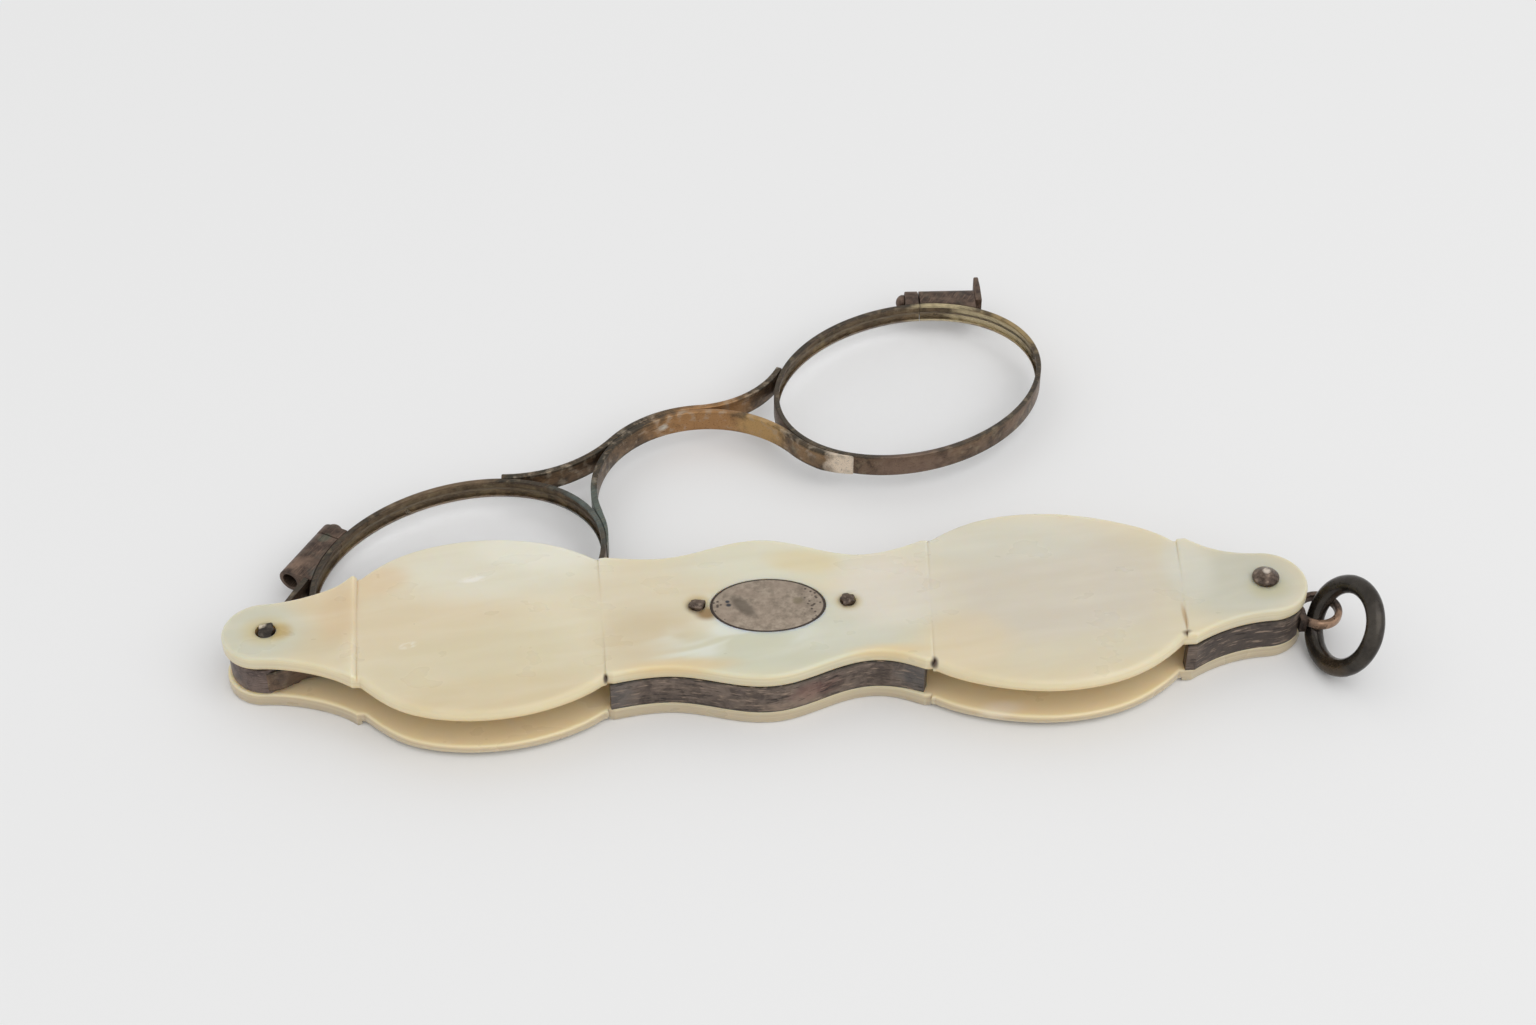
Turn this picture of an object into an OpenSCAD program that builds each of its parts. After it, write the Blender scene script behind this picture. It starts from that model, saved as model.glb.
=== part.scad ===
// Folding lorgnette: two pearl scales hold a lens frame that swings out on one pin.
// The handle lies along X, +Y is the back where the frame swings out, +Z is up.
// The origin is on the table, under the middle between the two closed eyes.

/* [View] */
// turn of the lens frame out of the handle axis, degrees
open_angle = 28.5; // [1:0.5:180]

/* [Eyes] */
// distance between the middles of the two lenses
eye_spacing = 62.9; // [61:0.1:66]
// half the length of an eye wire, outside
eye_a = 17.8; // [17:0.1:18.4]
// half the width of an eye wire, outside
eye_b = 13.9; // [13:0.1:14.6]
// distance from the pivot to the near eye wire
tip_gap = 6.2; // [5.8:0.1:7]
// height of the eye wires and their straps
rim_h = 2.85; // [2.4:0.05:3.2]
// wall behind the lens groove
rim_wall = 0.35; // [0.25:0.05:0.5]
// depth of the whole channel, wall and lips together
rim_depth = 0.65; // [0.6:0.05:0.9]
// height of the lens groove
groove_h = 2.2; // [1.8:0.05:2.3]
// thickness of a lens at its middle
lens_t = 1.4; // [1.1:0.05:1.8]

/* [Bridge] */
// thickness of the bridge strips
strip_t = 0.75; // [0.5:0.05:0.9]
// point of the eye wire where the nose arch leaves it, degrees below the eye axis
arch_leave = 6; // [2:0.5:10]
// end of the arch lap on the near eye wire, degrees below the eye axis
arch_lap_near = 26; // [20:1:30]
// end of the arch lap on the far eye wire, degrees below the eye axis
arch_lap_far = 38; // [28:1:38]
// end of the brace on the near eye wire, degrees above the eye axis
brace_near = 51; // [46:0.5:54]
// end of the brace on the far eye wire, degrees above the eye axis
brace_far = 47; // [44:0.5:52]

/* [Closing blocks] */
// place of a block on its eye wire, degrees from the outer end
block_at = 52.8; // [48:0.2:56]
// length of the threaded half, outwards from the middle of the block
barrel_len = 6.1; // [4.5:0.1:7]
// distance from the eye wire to the screw axis
screw_off = 1.95; // [1.8:0.05:2.2]
// width of the slit that the screw draws shut
slit_w = 0.15; // [0.1:0.01:0.3]
// height of the nail lug above the far block
nail_lug_out = 1.9; // [1.2:0.1:2.4]

/* [Handle] */
// thickness of the handle over both scales
handle_t = 7.5; // [7:0.1:9]
// thickness of one scale
scale_t = 1.8; // [1.5:0.05:2]
// drop of an oval's face from its middle line to its edge
dome_drop = 0.5; // [0.2:0.05:0.8]
// radius of the round end over the pivot
near_lobe_r = 4.4; // [4:0.1:4.8]
// radius of the round end over the tail pin
far_lobe_r = 4.8; // [4.5:0.1:5.2]
// distance from the closed far eye wire to the middle of the round end over the tail pin
tail_reach = 7.6; // [7.2:0.1:8.2]
// radius of the hollow side next to the pivot
near_flare_r = 14.8; // [14:0.1:16]
// radius of the hollow side next to the tail
far_flare_r = 16.5; // [15.5:0.1:17]
// half width at the middle of the handle
belly_w = 10.98; // [10.4:0.02:11.6]
// half width at the near waist
near_waist_w = 8.7; // [8.2:0.05:9.2]
// half width at the far waist
far_waist_w = 7.8; // [7.5:0.05:8.6]
// half width of the middle section at its near shoulder
near_shoulder_w = 9.5; // [9.3:0.05:9.9]
// half width of the middle section at its far shoulder
far_shoulder_w = 9.95; // [9.7:0.05:10.3]

/* [Plate and pins] */
// half length of the blank plate, as a share of the way from the middle of the bridge to an eye wire
plate_share = 0.476; // [0.4:0.002:0.484]
// half width of the blank plate
plate_b = 4.23; // [3.2:0.01:5]
// thickness of the blank plate
plate_t = 0.5; // [0.3:0.05:0.8]
// radius of the pivot pin
pivot_pin_r = 1.15; // [0.9:0.05:1.3]
// radius of the tail pin under its head
tail_pin_r = 0.9; // [0.7:0.05:1]
// radius of the tail pin's head
tail_head_r = 1.55; // [1.3:0.05:1.8]
// radius of the two centre rivets
rivet_r = 0.9; // [0.7:0.05:1]

/* [Spacers and ring] */
// thickness of the spacer walls along the front edge
spacer_wall = 2.2; // [1.6:0.1:2.4]
// radius of the hanging ring to the middle of its wire
ring_r = 4.76; // [4.6:0.02:5.2]
// radius of the ring wire
ring_wire_r = 1.05; // [0.8:0.05:1.1]
// radius of the hole in the ring eye
eye_hole_r = 1.9; // [1.85:0.05:2.1]

/* [Hidden] */
$fn = 64;

// clearances
run_gap = 0.04;      // pivot pin to knuckle, radial
side_gap = 0.15;     // knuckle to each scale
lens_gap = 0.05;     // lens edge to groove
joint_gap = 0.02;    // between pieces soldered or pressed together
closed_gap = 0.35;   // closed lens frame to the spacers
closed_angle = 0.8;  // the frame comes to rest on the centre spacer at this turn

// heights
slot_h = handle_t - 2 * scale_t;
slot_mid = handle_t / 2;

// places along the handle: the ovals cover the closed eyes, and the shoulders cut off their ends
pivot_to_eye = eye_a + tip_gap;
pivot_x = -(pivot_to_eye + eye_spacing / 2);
near_oval_x = -eye_spacing / 2;
far_oval_x = eye_spacing / 2 + 0.25;
near_lobe_x = pivot_x - 0.5;
far_lobe_x = eye_spacing / 2 + eye_a + tail_reach;
tail_pin_at = [far_lobe_x + 0.1, 0.4];
near_outer_x = near_oval_x - 0.837 * eye_a;
near_inner_x = near_oval_x + 0.747 * eye_a;
far_inner_x = far_oval_x - 0.722 * eye_a;
far_outer_x = far_oval_x + 0.848 * eye_a;

// the middle section grows and shrinks with the space between the two eyes
half_space = eye_spacing / 2 - eye_a;
belly_x = -0.011 * half_space;
near_waist_x = -0.861 * half_space;
far_waist_x = 0.861 * half_space;
rivet_at = [[-0.546 * half_space, 0.6], [0.692 * half_space, 0.24]];
plate_a = plate_share * half_space;
plate_at = [0.033 * half_space, 0.1];
plate_turn = -2.2;

// outline of the handle
near_flare_at = flare_centre(near_lobe_x, -0.6, near_lobe_r + near_flare_r);
far_flare_at = flare_centre(far_lobe_x, 0.6, far_lobe_r + far_flare_r);
near_horn = 0.5;
far_horn = 1.1;
outline_steps = 24;
section_steps = 48;

function flare_centre(x, dx, reach) = [x + dx, sqrt(reach * reach - dx * dx)];
function on_ellipse(c, a, b, t) = [c[0] + a * cos(t), c[1] + b * sin(t)];
function ellipse_pts(c, a, b, t0, t1, n) = [for (i = [0:n]) on_ellipse(c, a, b, t0 + (t1 - t0) * i / n)];
function arc_pts(c, r, t0, t1, n) = ellipse_pts(c, r, r, t0, t1, n);
function loop_pts(a, b, n) = [for (i = [0:n - 1]) on_ellipse([0, 0], a, b, 360 * i / n)];
function flipped(p) = [for (i = [len(p) - 1:-1:0]) [p[i][0], -p[i][1]]];

// half width of the middle section: a wave from the belly to the waists, up again to the shoulders
function wave(lo, hi, u) = lo + (hi - lo) * (1 + cos(180 * u)) / 2;
function rise(lo, hi, u) = lo + (hi - lo) * (1 - cos(90 * u));
function section_w(x) =
    x < near_waist_x ? rise(near_waist_w, near_shoulder_w, (near_waist_x - x) / (near_waist_x - near_inner_x)) :
    x < belly_x ? wave(near_waist_w, belly_w, (belly_x - x) / (belly_x - near_waist_x)) :
    x < far_waist_x ? wave(far_waist_w, belly_w, (x - belly_x) / (far_waist_x - belly_x)) :
    rise(far_waist_w, far_shoulder_w, (x - far_waist_x) / (far_inner_x - far_waist_x));
function section_pts(x0, x1, n) = [for (i = [0:n]) [x0 + (x1 - x0) * i / n, section_w(x0 + (x1 - x0) * i / n)]];

near_flare_end = asin((near_outer_x - near_horn - near_flare_at[0]) / near_flare_r);
far_flare_end = asin((far_flare_at[0] - far_outer_x - far_horn) / far_flare_r);
near_tangent = atan2(near_flare_at[1], near_flare_at[0] - near_lobe_x);
far_tangent = atan2(far_flare_at[1], far_flare_at[0] - far_lobe_x);
near_horn_w = near_flare_at[1] - near_flare_r * cos(near_flare_end);
far_horn_w = far_flare_at[1] - far_flare_r * cos(far_flare_end);
near_oval_from = acos((near_outer_x - near_oval_x) / eye_a);
near_oval_to = acos((near_inner_x - near_oval_x) / eye_a);
far_oval_from = acos((far_inner_x - far_oval_x) / eye_a);
far_oval_to = acos((far_outer_x - far_oval_x) / eye_a);

back_edge = concat(
    arc_pts([near_lobe_x, 0], near_lobe_r, 180, near_tangent, outline_steps),
    arc_pts(near_flare_at, near_flare_r, near_tangent - 180, near_flare_end - 90, outline_steps),
    [[near_outer_x, near_horn_w]],
    ellipse_pts([near_oval_x, 0], eye_a, eye_b, near_oval_from, near_oval_to, section_steps),
    section_pts(near_inner_x, far_inner_x, section_steps),
    ellipse_pts([far_oval_x, 0], eye_a, eye_b, far_oval_from, far_oval_to, section_steps),
    [[far_outer_x, far_horn_w]],
    arc_pts(far_flare_at, far_flare_r, -90 - far_flare_end, far_tangent - 180, outline_steps),
    arc_pts([far_lobe_x, 0], far_lobe_r, far_tangent, 0, outline_steps)
);
// points where two curves meet are taken once, and so are the two ends on the axis
whole_edge = concat(back_edge, [for (p = flipped(back_edge)) if (abs(p[1]) > 0.001) p]);
handle_outline = [
    for (i = [0:len(whole_edge) - 1])
        if (i == 0 || norm(whole_edge[i] - whole_edge[max(i - 1, 0)]) > 0.001) whole_edge[i]
];

// lens frame, in its own coordinates: pivot at the origin, near eye along +X, back along +Y
eye_steps = 96;
mid_u = pivot_to_eye + eye_spacing / 2;
far_u = pivot_to_eye + eye_spacing;
near_eye_c = [pivot_to_eye, 0];
knuckle_r = near_lobe_r;
knuckle_h = slot_h - 2 * side_gap;
knuckle_bore_r = pivot_pin_r + run_gap;
lap_a = eye_a + strip_t / 2 + joint_gap;
lap_b = eye_b + strip_t / 2 + joint_gap;
strap_t = 0.65;
strap_out = 0.25;    // the straps stand this far outside the hollow sides of the handle
strap_r = near_flare_r - strap_out + strap_t / 2;
flare_in_frame = [near_flare_at[0] - pivot_x, near_flare_at[1]];
block_c = on_ellipse(near_eye_c, -eye_a, eye_b, block_at);
block_dir = atan2(eye_b * cos(block_at), eye_a * sin(block_at));
barrel_r = rim_h / 2;
slit_s = 1;          // the slit starts this far inwards from the middle of the block
cap_len = 1.7;       // length of the lug under the screw head
screw_r = 0.55;
screw_head_r = 1;
hollow_r = 0.95;     // open outer end of the threaded half
hollow_len = 2.6;

function unit(v) = v / norm(v);
function along(p) = [for (i = [0:len(p) - 1]) unit(p[min(i + 1, len(p) - 1)] - p[max(i - 1, 0)])];
function side(p, d, t) = [for (i = [0:len(p) - 1]) p[i] + t * [-d[i][1], d[i][0]]];
function reversed(p) = [for (i = [len(p) - 1:-1:0]) p[i]];
function strip(p, t) = concat(side(p, along(p), t / 2), reversed(side(p, along(p), -t / 2)));
function blend_pt(p, d, q, e, u) =
    (2 * u * u * u - 3 * u * u + 1) * p + (u * u * u - 2 * u * u + u) * d +
    (3 * u * u - 2 * u * u * u) * q + (u * u * u - u * u) * e;
function blend_pts(p, d, q, e, n) = [for (i = [1:n - 1]) blend_pt(p, d, q, e, i / n)];
function flip_u(p) = [for (i = [len(p) - 1:-1:0]) [2 * mid_u - p[i][0], p[i][1]]];

// nose arch: a circle that leaves both eye wires at a tangent
arch_from = on_ellipse(near_eye_c, lap_a, lap_b, -arch_leave);
arch_k = (mid_u - arch_from[0]) / (lap_b * cos(arch_leave));
arch_c = [mid_u, arch_from[1] - arch_k * lap_a * sin(arch_leave)];
arch_r = norm(arch_from - arch_c);
arch_a0 = atan2(arch_from[1] - arch_c[1], arch_from[0] - arch_c[0]);
arch_line = concat(
    ellipse_pts(near_eye_c, lap_a, lap_b, -arch_lap_near, -arch_leave, 12),
    arc_pts(arch_c, arch_r, arch_a0 - 2, 182 - arch_a0, 60),
    flip_u(ellipse_pts(near_eye_c, lap_a, lap_b, -arch_lap_far, -arch_leave, 16))
);

// nose brace: over the crown of the arch, then hollow on both sides down to the eye wires
crown_r = arch_r + strip_t + joint_gap;
function waist_end(t) = on_ellipse(near_eye_c, lap_a, lap_b, t);
function waist_n(t) = unit([lap_b * cos(t), lap_a * sin(t)]);
function waist_r(t) = let (d = waist_end(t) - arch_c)
    (d * d - crown_r * crown_r) / (2 * (crown_r - d * waist_n(t)));
function waist_c(t) = waist_end(t) + waist_r(t) * waist_n(t);
function heading(v) = atan2(v[1], v[0]);
function waist_pts(t) = arc_pts(waist_c(t), waist_r(t), heading(-waist_n(t)) + 360,
    heading(arch_c - waist_c(t)) + 360, 20);
function crown_from(t) = heading(waist_c(t) - arch_c);
brace_line = concat(
    waist_pts(brace_near),
    arc_pts(arch_c, crown_r, crown_from(brace_near) - 2, 182 - crown_from(brace_far), 24),
    flip_u(waist_pts(brace_far))
);

// straps: along the hollow side of the handle, then on to the eye wire
strap_a0 = -94;      // start of both straps on the hollow side, in the knuckle
strap_a1 = -60;      // here the front strap leaves it for the eye wire
strap_a2 = -40;      // the back strap runs on to its block
seat_past = 10;      // the seats in the knuckle start this many degrees earlier
strap_end = on_ellipse(flare_in_frame, strap_r, strap_r, strap_a1);
strap_arc = arc_pts(flare_in_frame, strap_r, strap_a0, strap_a1, 16);
strap_lap = 130;
strap_lap_a = eye_a + strap_t / 2 + joint_gap;
strap_lap_b = eye_b + strap_t / 2 + joint_gap;
strap_meet = on_ellipse(near_eye_c, strap_lap_a, strap_lap_b, strap_lap);
front_strap_line = concat(
    strap_arc,
    blend_pts(strap_end, 6 * [cos(strap_a1 + 90), sin(strap_a1 + 90)], strap_meet,
        6 * unit([strap_lap_a * sin(strap_lap), -strap_lap_b * cos(strap_lap)]), 12),
    ellipse_pts(near_eye_c, strap_lap_a, strap_lap_b, strap_lap, strap_lap - 8, 6)
);
back_strap_line = arc_pts(flare_in_frame, strap_r, strap_a0, strap_a2, 24);

// spacers
spacer_near_end = 0.6;   // the centre spacer ends this far inside the near shoulder
spacer_far_end = 1.7;    // and this far inside the far shoulder
boss_r = 2.2;            // round of the spacer about each rivet
post_w = 3.2;            // width of the post between that round and the wall
arm_past = 4;            // degrees that the arm of the end spacer runs on past the shoulder

// ring and its eye: the eye stands out of the tail block, and the wire runs through the middle of its hole
ring_eye_w = 0.7;
ring_eye_h = 1.15;
ring_eye_at = [far_lobe_x + far_lobe_r + eye_hole_r - 0.45, -0.29 * far_lobe_r];
tab_h = 2;
tab_side = 0.48 * far_lobe_r;
tab_w = far_lobe_r;
tab_end_x = ring_eye_at[0] - eye_hole_r + 0.1;
block_end_x = ring_eye_at[0] - eye_hole_r - ring_eye_w;
tail_block_x = far_lobe_x - far_lobe_r - 0.6;
ring_pass = [ring_eye_at[0] - 0.05, ring_eye_at[1] - 0.02, slot_mid];
ring_turn = [0, 118.5, 14.84];
ring_pass_at = -111;   // direction from the ring eye to the middle of the ring, in the plane of the ring

pearl = [0.85, 0.82, 0.73];
silver = [0.45, 0.41, 0.36];
copper = [0.55, 0.38, 0.28];
dark = [0.22, 0.2, 0.18];
grey = [0.62, 0.58, 0.53];
clear = [0.85, 0.92, 0.95, 0.35];

module ellipse_plate(u, inset, h) {
    translate([u, 0, -h / 2])
        linear_extrude(height = h)
            polygon(loop_pts(eye_a - inset, eye_b - inset, eye_steps));
}

// the round face of one oval: everything above a wide cylinder along the handle
module above_dome(x0, x1) {
    dome_r = (eye_b * eye_b + dome_drop * dome_drop) / (2 * dome_drop);
    difference() {
        translate([x0, -eye_b - 1, 0])
            cube([x1 - x0, 2 * eye_b + 2, scale_t + 1]);
        translate([x0 - 1, 0, scale_t - dome_r])
            rotate([0, 90, 0])
                cylinder(r = dome_r, h = x1 - x0 + 2, $fn = 720);
    }
}

// one scale with its outer face up, its inner face on z = 0
module scale_blank() {
    difference() {
        linear_extrude(height = scale_t)
            polygon(handle_outline);
        above_dome(near_outer_x, near_inner_x);
        above_dome(far_inner_x, far_outer_x);
        pin_holes();
    }
}

module pin_holes() {
    translate([pivot_x, 0, -1])
        cylinder(r = pivot_pin_r + joint_gap, h = scale_t + 2);
    translate([tail_pin_at[0], tail_pin_at[1], -1])
        cylinder(r = tail_pin_r + joint_gap, h = scale_t + 2);
    for (p = rivet_at)
        translate([p[0], p[1], -1])
            cylinder(r = rivet_r + joint_gap, h = scale_t + 2);
}

module plate_shape(grow, h) {
    translate([plate_at[0], plate_at[1], 0])
        rotate([0, 0, plate_turn])
            linear_extrude(height = h)
                polygon(loop_pts(plate_a + grow, plate_b + grow, 72));
}

module top_scale() {
    color(pearl)
        difference() {
            translate([0, 0, handle_t - scale_t])
                scale_blank();
            translate([0, 0, handle_t - plate_t - joint_gap])
                plate_shape(joint_gap, plate_t + 1);
        }
}

module bottom_scale() {
    color(pearl)
        translate([0, 0, scale_t])
            mirror([0, 0, 1])
                scale_blank();
}

module name_plate() {
    color(grey)
        translate([0, 0, handle_t - plate_t])
            plate_shape(0, plate_t);
}

module centre_rivets() {
    color(silver)
        for (p = rivet_at)
            translate([p[0], p[1], 0.05])
                cylinder(r = rivet_r, h = handle_t + 0.1);
}

module pivot_pin() {
    color(dark)
        translate([pivot_x, 0, 0.05])
            cylinder(r = pivot_pin_r, h = handle_t - 0.1);
}

module tail_pin() {
    color(silver)
        translate([tail_pin_at[0], tail_pin_at[1], 0]) {
            translate([0, 0, 0.05])
                cylinder(r = tail_pin_r, h = handle_t);
            translate([0, 0, handle_t + joint_gap])
                rotate_extrude()
                    polygon([
                        [0, 0], [tail_head_r - 0.1, 0], [tail_head_r, 0.15], [tail_head_r - 0.05, 0.45],
                        [0.55, 1.15], [0.5, 1.3], [0, 1.3]
                    ]);
        }
}

// room that the closed lens frame needs, in plan
module closed_room(u, gap) {
    translate([pivot_x, 0, 0])
        rotate([0, 0, closed_angle])
            translate([u, 0, 0])
                linear_extrude(height = handle_t)
                    polygon(loop_pts(eye_a + gap, eye_b + gap, eye_steps));
}

module centre_spacer() {
    wall = section_pts(near_inner_x + spacer_near_end, far_inner_x - spacer_far_end, section_steps);
    color(dark)
        difference() {
            translate([0, 0, scale_t])
                linear_extrude(height = slot_h) {
                    mirror([0, 1])
                        polygon(concat(wall, reversed(side(wall, along(wall), -spacer_wall))));
                    for (p = rivet_at) {
                        translate(p)
                            circle(r = boss_r);
                        translate([p[0] - post_w / 2, 1 - section_w(p[0])])
                            square([post_w, section_w(p[0]) - 1 + p[1]]);
                    }
                }
            closed_room(pivot_to_eye, closed_gap);
            closed_room(far_u, closed_gap);
            translate([pivot_x, 0, 0])
                rotate([0, 0, closed_angle])
                    linear_extrude(height = handle_t)
                        polygon(strip(arch_line, strip_t + 2 * closed_gap));
            for (p = rivet_at)
                translate([p[0], p[1], 0])
                    cylinder(r = rivet_r + joint_gap, h = handle_t);
        }
}

module end_spacer() {
    arm = arc_pts([far_flare_at[0], -far_flare_at[1]], far_flare_r + spacer_wall,
        90 + far_flare_end + arm_past, 90, 24);
    color(dark)
        difference() {
            translate([0, 0, scale_t])
                linear_extrude(height = slot_h)
                    intersection() {
                        polygon(handle_outline);
                        union() {
                            translate([tail_block_x, -2 * far_lobe_r])
                                square([block_end_x - tail_block_x, 4 * far_lobe_r]);
                            polygon(concat([[far_outer_x, -2 * far_lobe_r]], [[far_outer_x, spacer_wall - far_horn_w]],
                                arm, [[far_flare_at[0], -2 * far_lobe_r]]));
                        }
                    }
            closed_room(far_u, closed_gap + 0.15);
            translate([tail_pin_at[0], tail_pin_at[1], 0])
                cylinder(r = tail_pin_r + joint_gap, h = handle_t);
        }
}

module ring_eye() {
    color(copper)
        difference() {
            union() {
                translate([ring_eye_at[0], ring_eye_at[1], slot_mid])
                    rotate_extrude()
                        translate([eye_hole_r + ring_eye_w / 2, 0]) {
                            square([ring_eye_w, ring_eye_h - ring_eye_w], center = true);
                            for (s = [-1, 1])
                                translate([0, s * (ring_eye_h - ring_eye_w) / 2])
                                    circle(r = ring_eye_w / 2);
                        }
                translate([block_end_x + joint_gap, ring_eye_at[1] - tab_side, slot_mid - tab_h / 2])
                    cube([tab_end_x - block_end_x - joint_gap, tab_w, tab_h]);
            }
            translate([ring_eye_at[0], ring_eye_at[1], slot_mid - tab_h])
                cylinder(r = eye_hole_r, h = 2 * tab_h);
        }
}

module hanging_ring() {
    color(dark)
        translate(ring_pass)
            rotate(ring_turn)
                translate(ring_r * [cos(ring_pass_at), sin(ring_pass_at), 0])
                    rotate_extrude()
                        translate([ring_r, 0])
                            circle(r = ring_wire_r);
}

module in_frame() {
    translate([pivot_x, 0, slot_mid])
        rotate([0, 0, open_angle])
            children();
}

module far_side() {
    translate([2 * mid_u, 0, 0])
        mirror([1, 0, 0])
            children();
}

module at_block() {
    translate([block_c[0], block_c[1], 0])
        rotate([0, 0, block_dir])
            children();
}

module flat_strip(line, t) {
    translate([0, 0, -rim_h / 2])
        linear_extrude(height = rim_h)
            polygon(strip(line, t));
}

module hinge_knuckle() {
    color(silver)
        in_frame()
            difference() {
                translate([0, 0, -knuckle_h / 2])
                    cylinder(r = knuckle_r, h = knuckle_h);
                translate([0, 0, -handle_t])
                    cylinder(r = knuckle_bore_r, h = 2 * handle_t);
                translate([0, 0, -handle_t])
                    linear_extrude(height = 2 * handle_t) {
                        strap_seat();
                        mirror([0, 1])
                            strap_seat();
                    }
            }
}

module strap_seat() {
    polygon(strip(back_strap_line, strap_t + 2 * joint_gap));
    polygon(strip(arc_pts(flare_in_frame, strap_r - strap_t, strap_a0 - seat_past, strap_a2, 24),
        strap_t + 2 * joint_gap));
}

module front_strap() {
    color(silver)
        in_frame()
            mirror([0, 1, 0])
                flat_strip(front_strap_line, strap_t);
}

module back_strap() {
    color(silver)
        in_frame()
            difference() {
                flat_strip(back_strap_line, strap_t);
                at_block()
                    translate([-barrel_len - joint_gap, -eye_b, -rim_h])
                        cube([2 * eye_a, 2 * eye_b, 2 * rim_h]);
            }
}

module rim_ring(u) {
    difference() {
        ellipse_plate(u, 0, rim_h);
        ellipse_plate(u, rim_depth, rim_h + 1);
        ellipse_plate(u, rim_wall, groove_h);
        at_block()
            translate([slit_s, -rim_depth - 1.5, -rim_h])
                cube([slit_w, rim_depth + 4, 2 * rim_h]);
    }
}

module near_rim() {
    color(silver)
        in_frame()
            rim_ring(pivot_to_eye);
}

module far_rim() {
    color(silver)
        in_frame()
            far_side()
                rim_ring(pivot_to_eye);
}

// a lens is thickest in its middle and falls a little to its edge
module lens(u) {
    steps = 5;
    fall = 0.2;
    round_r = eye_a + 0.5;
    half = [for (i = [0:steps]) [round_r * i / steps, lens_t / 2 - fall * i * i / (steps * steps)]];
    intersection() {
        ellipse_plate(u, rim_wall + lens_gap, 2 * rim_h);
        translate([u, 0, 0])
            rotate_extrude($fn = 144)
                polygon(concat(half, [for (p = reversed(half)) [p[0], -p[1]]]));
    }
}

module near_lens() {
    color(clear)
        in_frame()
            lens(pivot_to_eye);
}

module far_lens() {
    color(clear)
        in_frame()
            lens(far_u);
}

module nose_arch() {
    color(silver)
        in_frame()
            flat_strip(arch_line, strip_t);
}

module nose_brace() {
    color(silver)
        in_frame()
            flat_strip(brace_line, strip_t);
}

// one half of a closing block between two places along its screw
module block_half(s0, s1, bore_r) {
    difference() {
        at_block() {
            translate([s0, screw_off, 0])
                rotate([0, 90, 0])
                    cylinder(r = barrel_r, h = s1 - s0);
            translate([s0, -3, -rim_h / 2])
                cube([s1 - s0, screw_off + 3, rim_h]);
        }
        ellipse_plate(pivot_to_eye, -joint_gap, 2 * rim_h);
        at_block()
            translate([s0 - 1, screw_off, 0])
                rotate([0, 90, 0])
                    cylinder(r = bore_r, h = s1 - s0 + 2);
    }
}

module barrel() {
    difference() {
        block_half(-barrel_len, slit_s, screw_r + joint_gap);
        at_block()
            translate([-barrel_len - 1, screw_off, 0])
                rotate([0, 90, 0])
                    cylinder(r = hollow_r, h = hollow_len + 1);
    }
}

module cap_lug() {
    block_half(slit_s + slit_w, slit_s + slit_w + cap_len, screw_r + joint_gap);
}

module closing_screw() {
    head_s = slit_s + slit_w + cap_len + joint_gap;
    at_block()
        translate([0, screw_off, 0])
            rotate([0, 90, 0]) {
                translate([0, 0, -2])
                    cylinder(r = screw_r, h = head_s + 2.1);
                translate([0, 0, head_s])
                    cylinder(r = screw_head_r, h = 0.4);
                translate([0, 0, head_s + 0.4])
                    intersection() {
                        translate([0, 0, -0.35])
                            sphere(r = 1.06);
                        cylinder(r = screw_head_r, h = 1);
                    }
            }
}

module near_barrel() {
    color(silver)
        in_frame()
            barrel();
}

module far_barrel() {
    color(silver)
        in_frame()
            far_side()
                barrel();
}

module near_cap_lug() {
    color(silver)
        in_frame()
            cap_lug();
}

module far_cap_lug() {
    color(silver)
        in_frame()
            far_side()
                cap_lug();
}

module near_screw() {
    color(silver)
        in_frame()
            closing_screw();
}

module far_screw() {
    color(silver)
        in_frame()
            far_side()
                closing_screw();
}

module nail_lug() {
    top = screw_off + barrel_r;
    color(silver)
        in_frame()
            far_side()
                at_block()
                    translate([-barrel_len - joint_gap, 0, -rim_h / 2])
                        linear_extrude(height = rim_h)
                            polygon([
                                [0, screw_off - barrel_r], [0, top], [-0.2, top + nail_lug_out],
                                [-0.8, top + nail_lug_out], [-0.9, top], [-0.9, screw_off - barrel_r]
                            ]);
}

top_scale();
bottom_scale();
name_plate();
centre_spacer();
end_spacer();
ring_eye();
hanging_ring();
pivot_pin();
tail_pin();
centre_rivets();
hinge_knuckle();
front_strap();
back_strap();
near_rim();
far_rim();
nose_arch();
nose_brace();
near_barrel();
far_barrel();
near_cap_lug();
far_cap_lug();
near_screw();
far_screw();
nail_lug();
near_lens();
far_lens();
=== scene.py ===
# %% [markdown]
# A folding lorgnette: a flat handle of two carved pearl scales, and a pair of oval eye wires that swing
# out of the slot between them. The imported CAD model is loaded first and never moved. Each piece below is
# built over its CAD node in the same place, in metres, and rides on the same body, so that it follows the
# joints.
# %% The frame
import math

import bpy
import numpy as np
from mathutils import Matrix, Vector, noise


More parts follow.
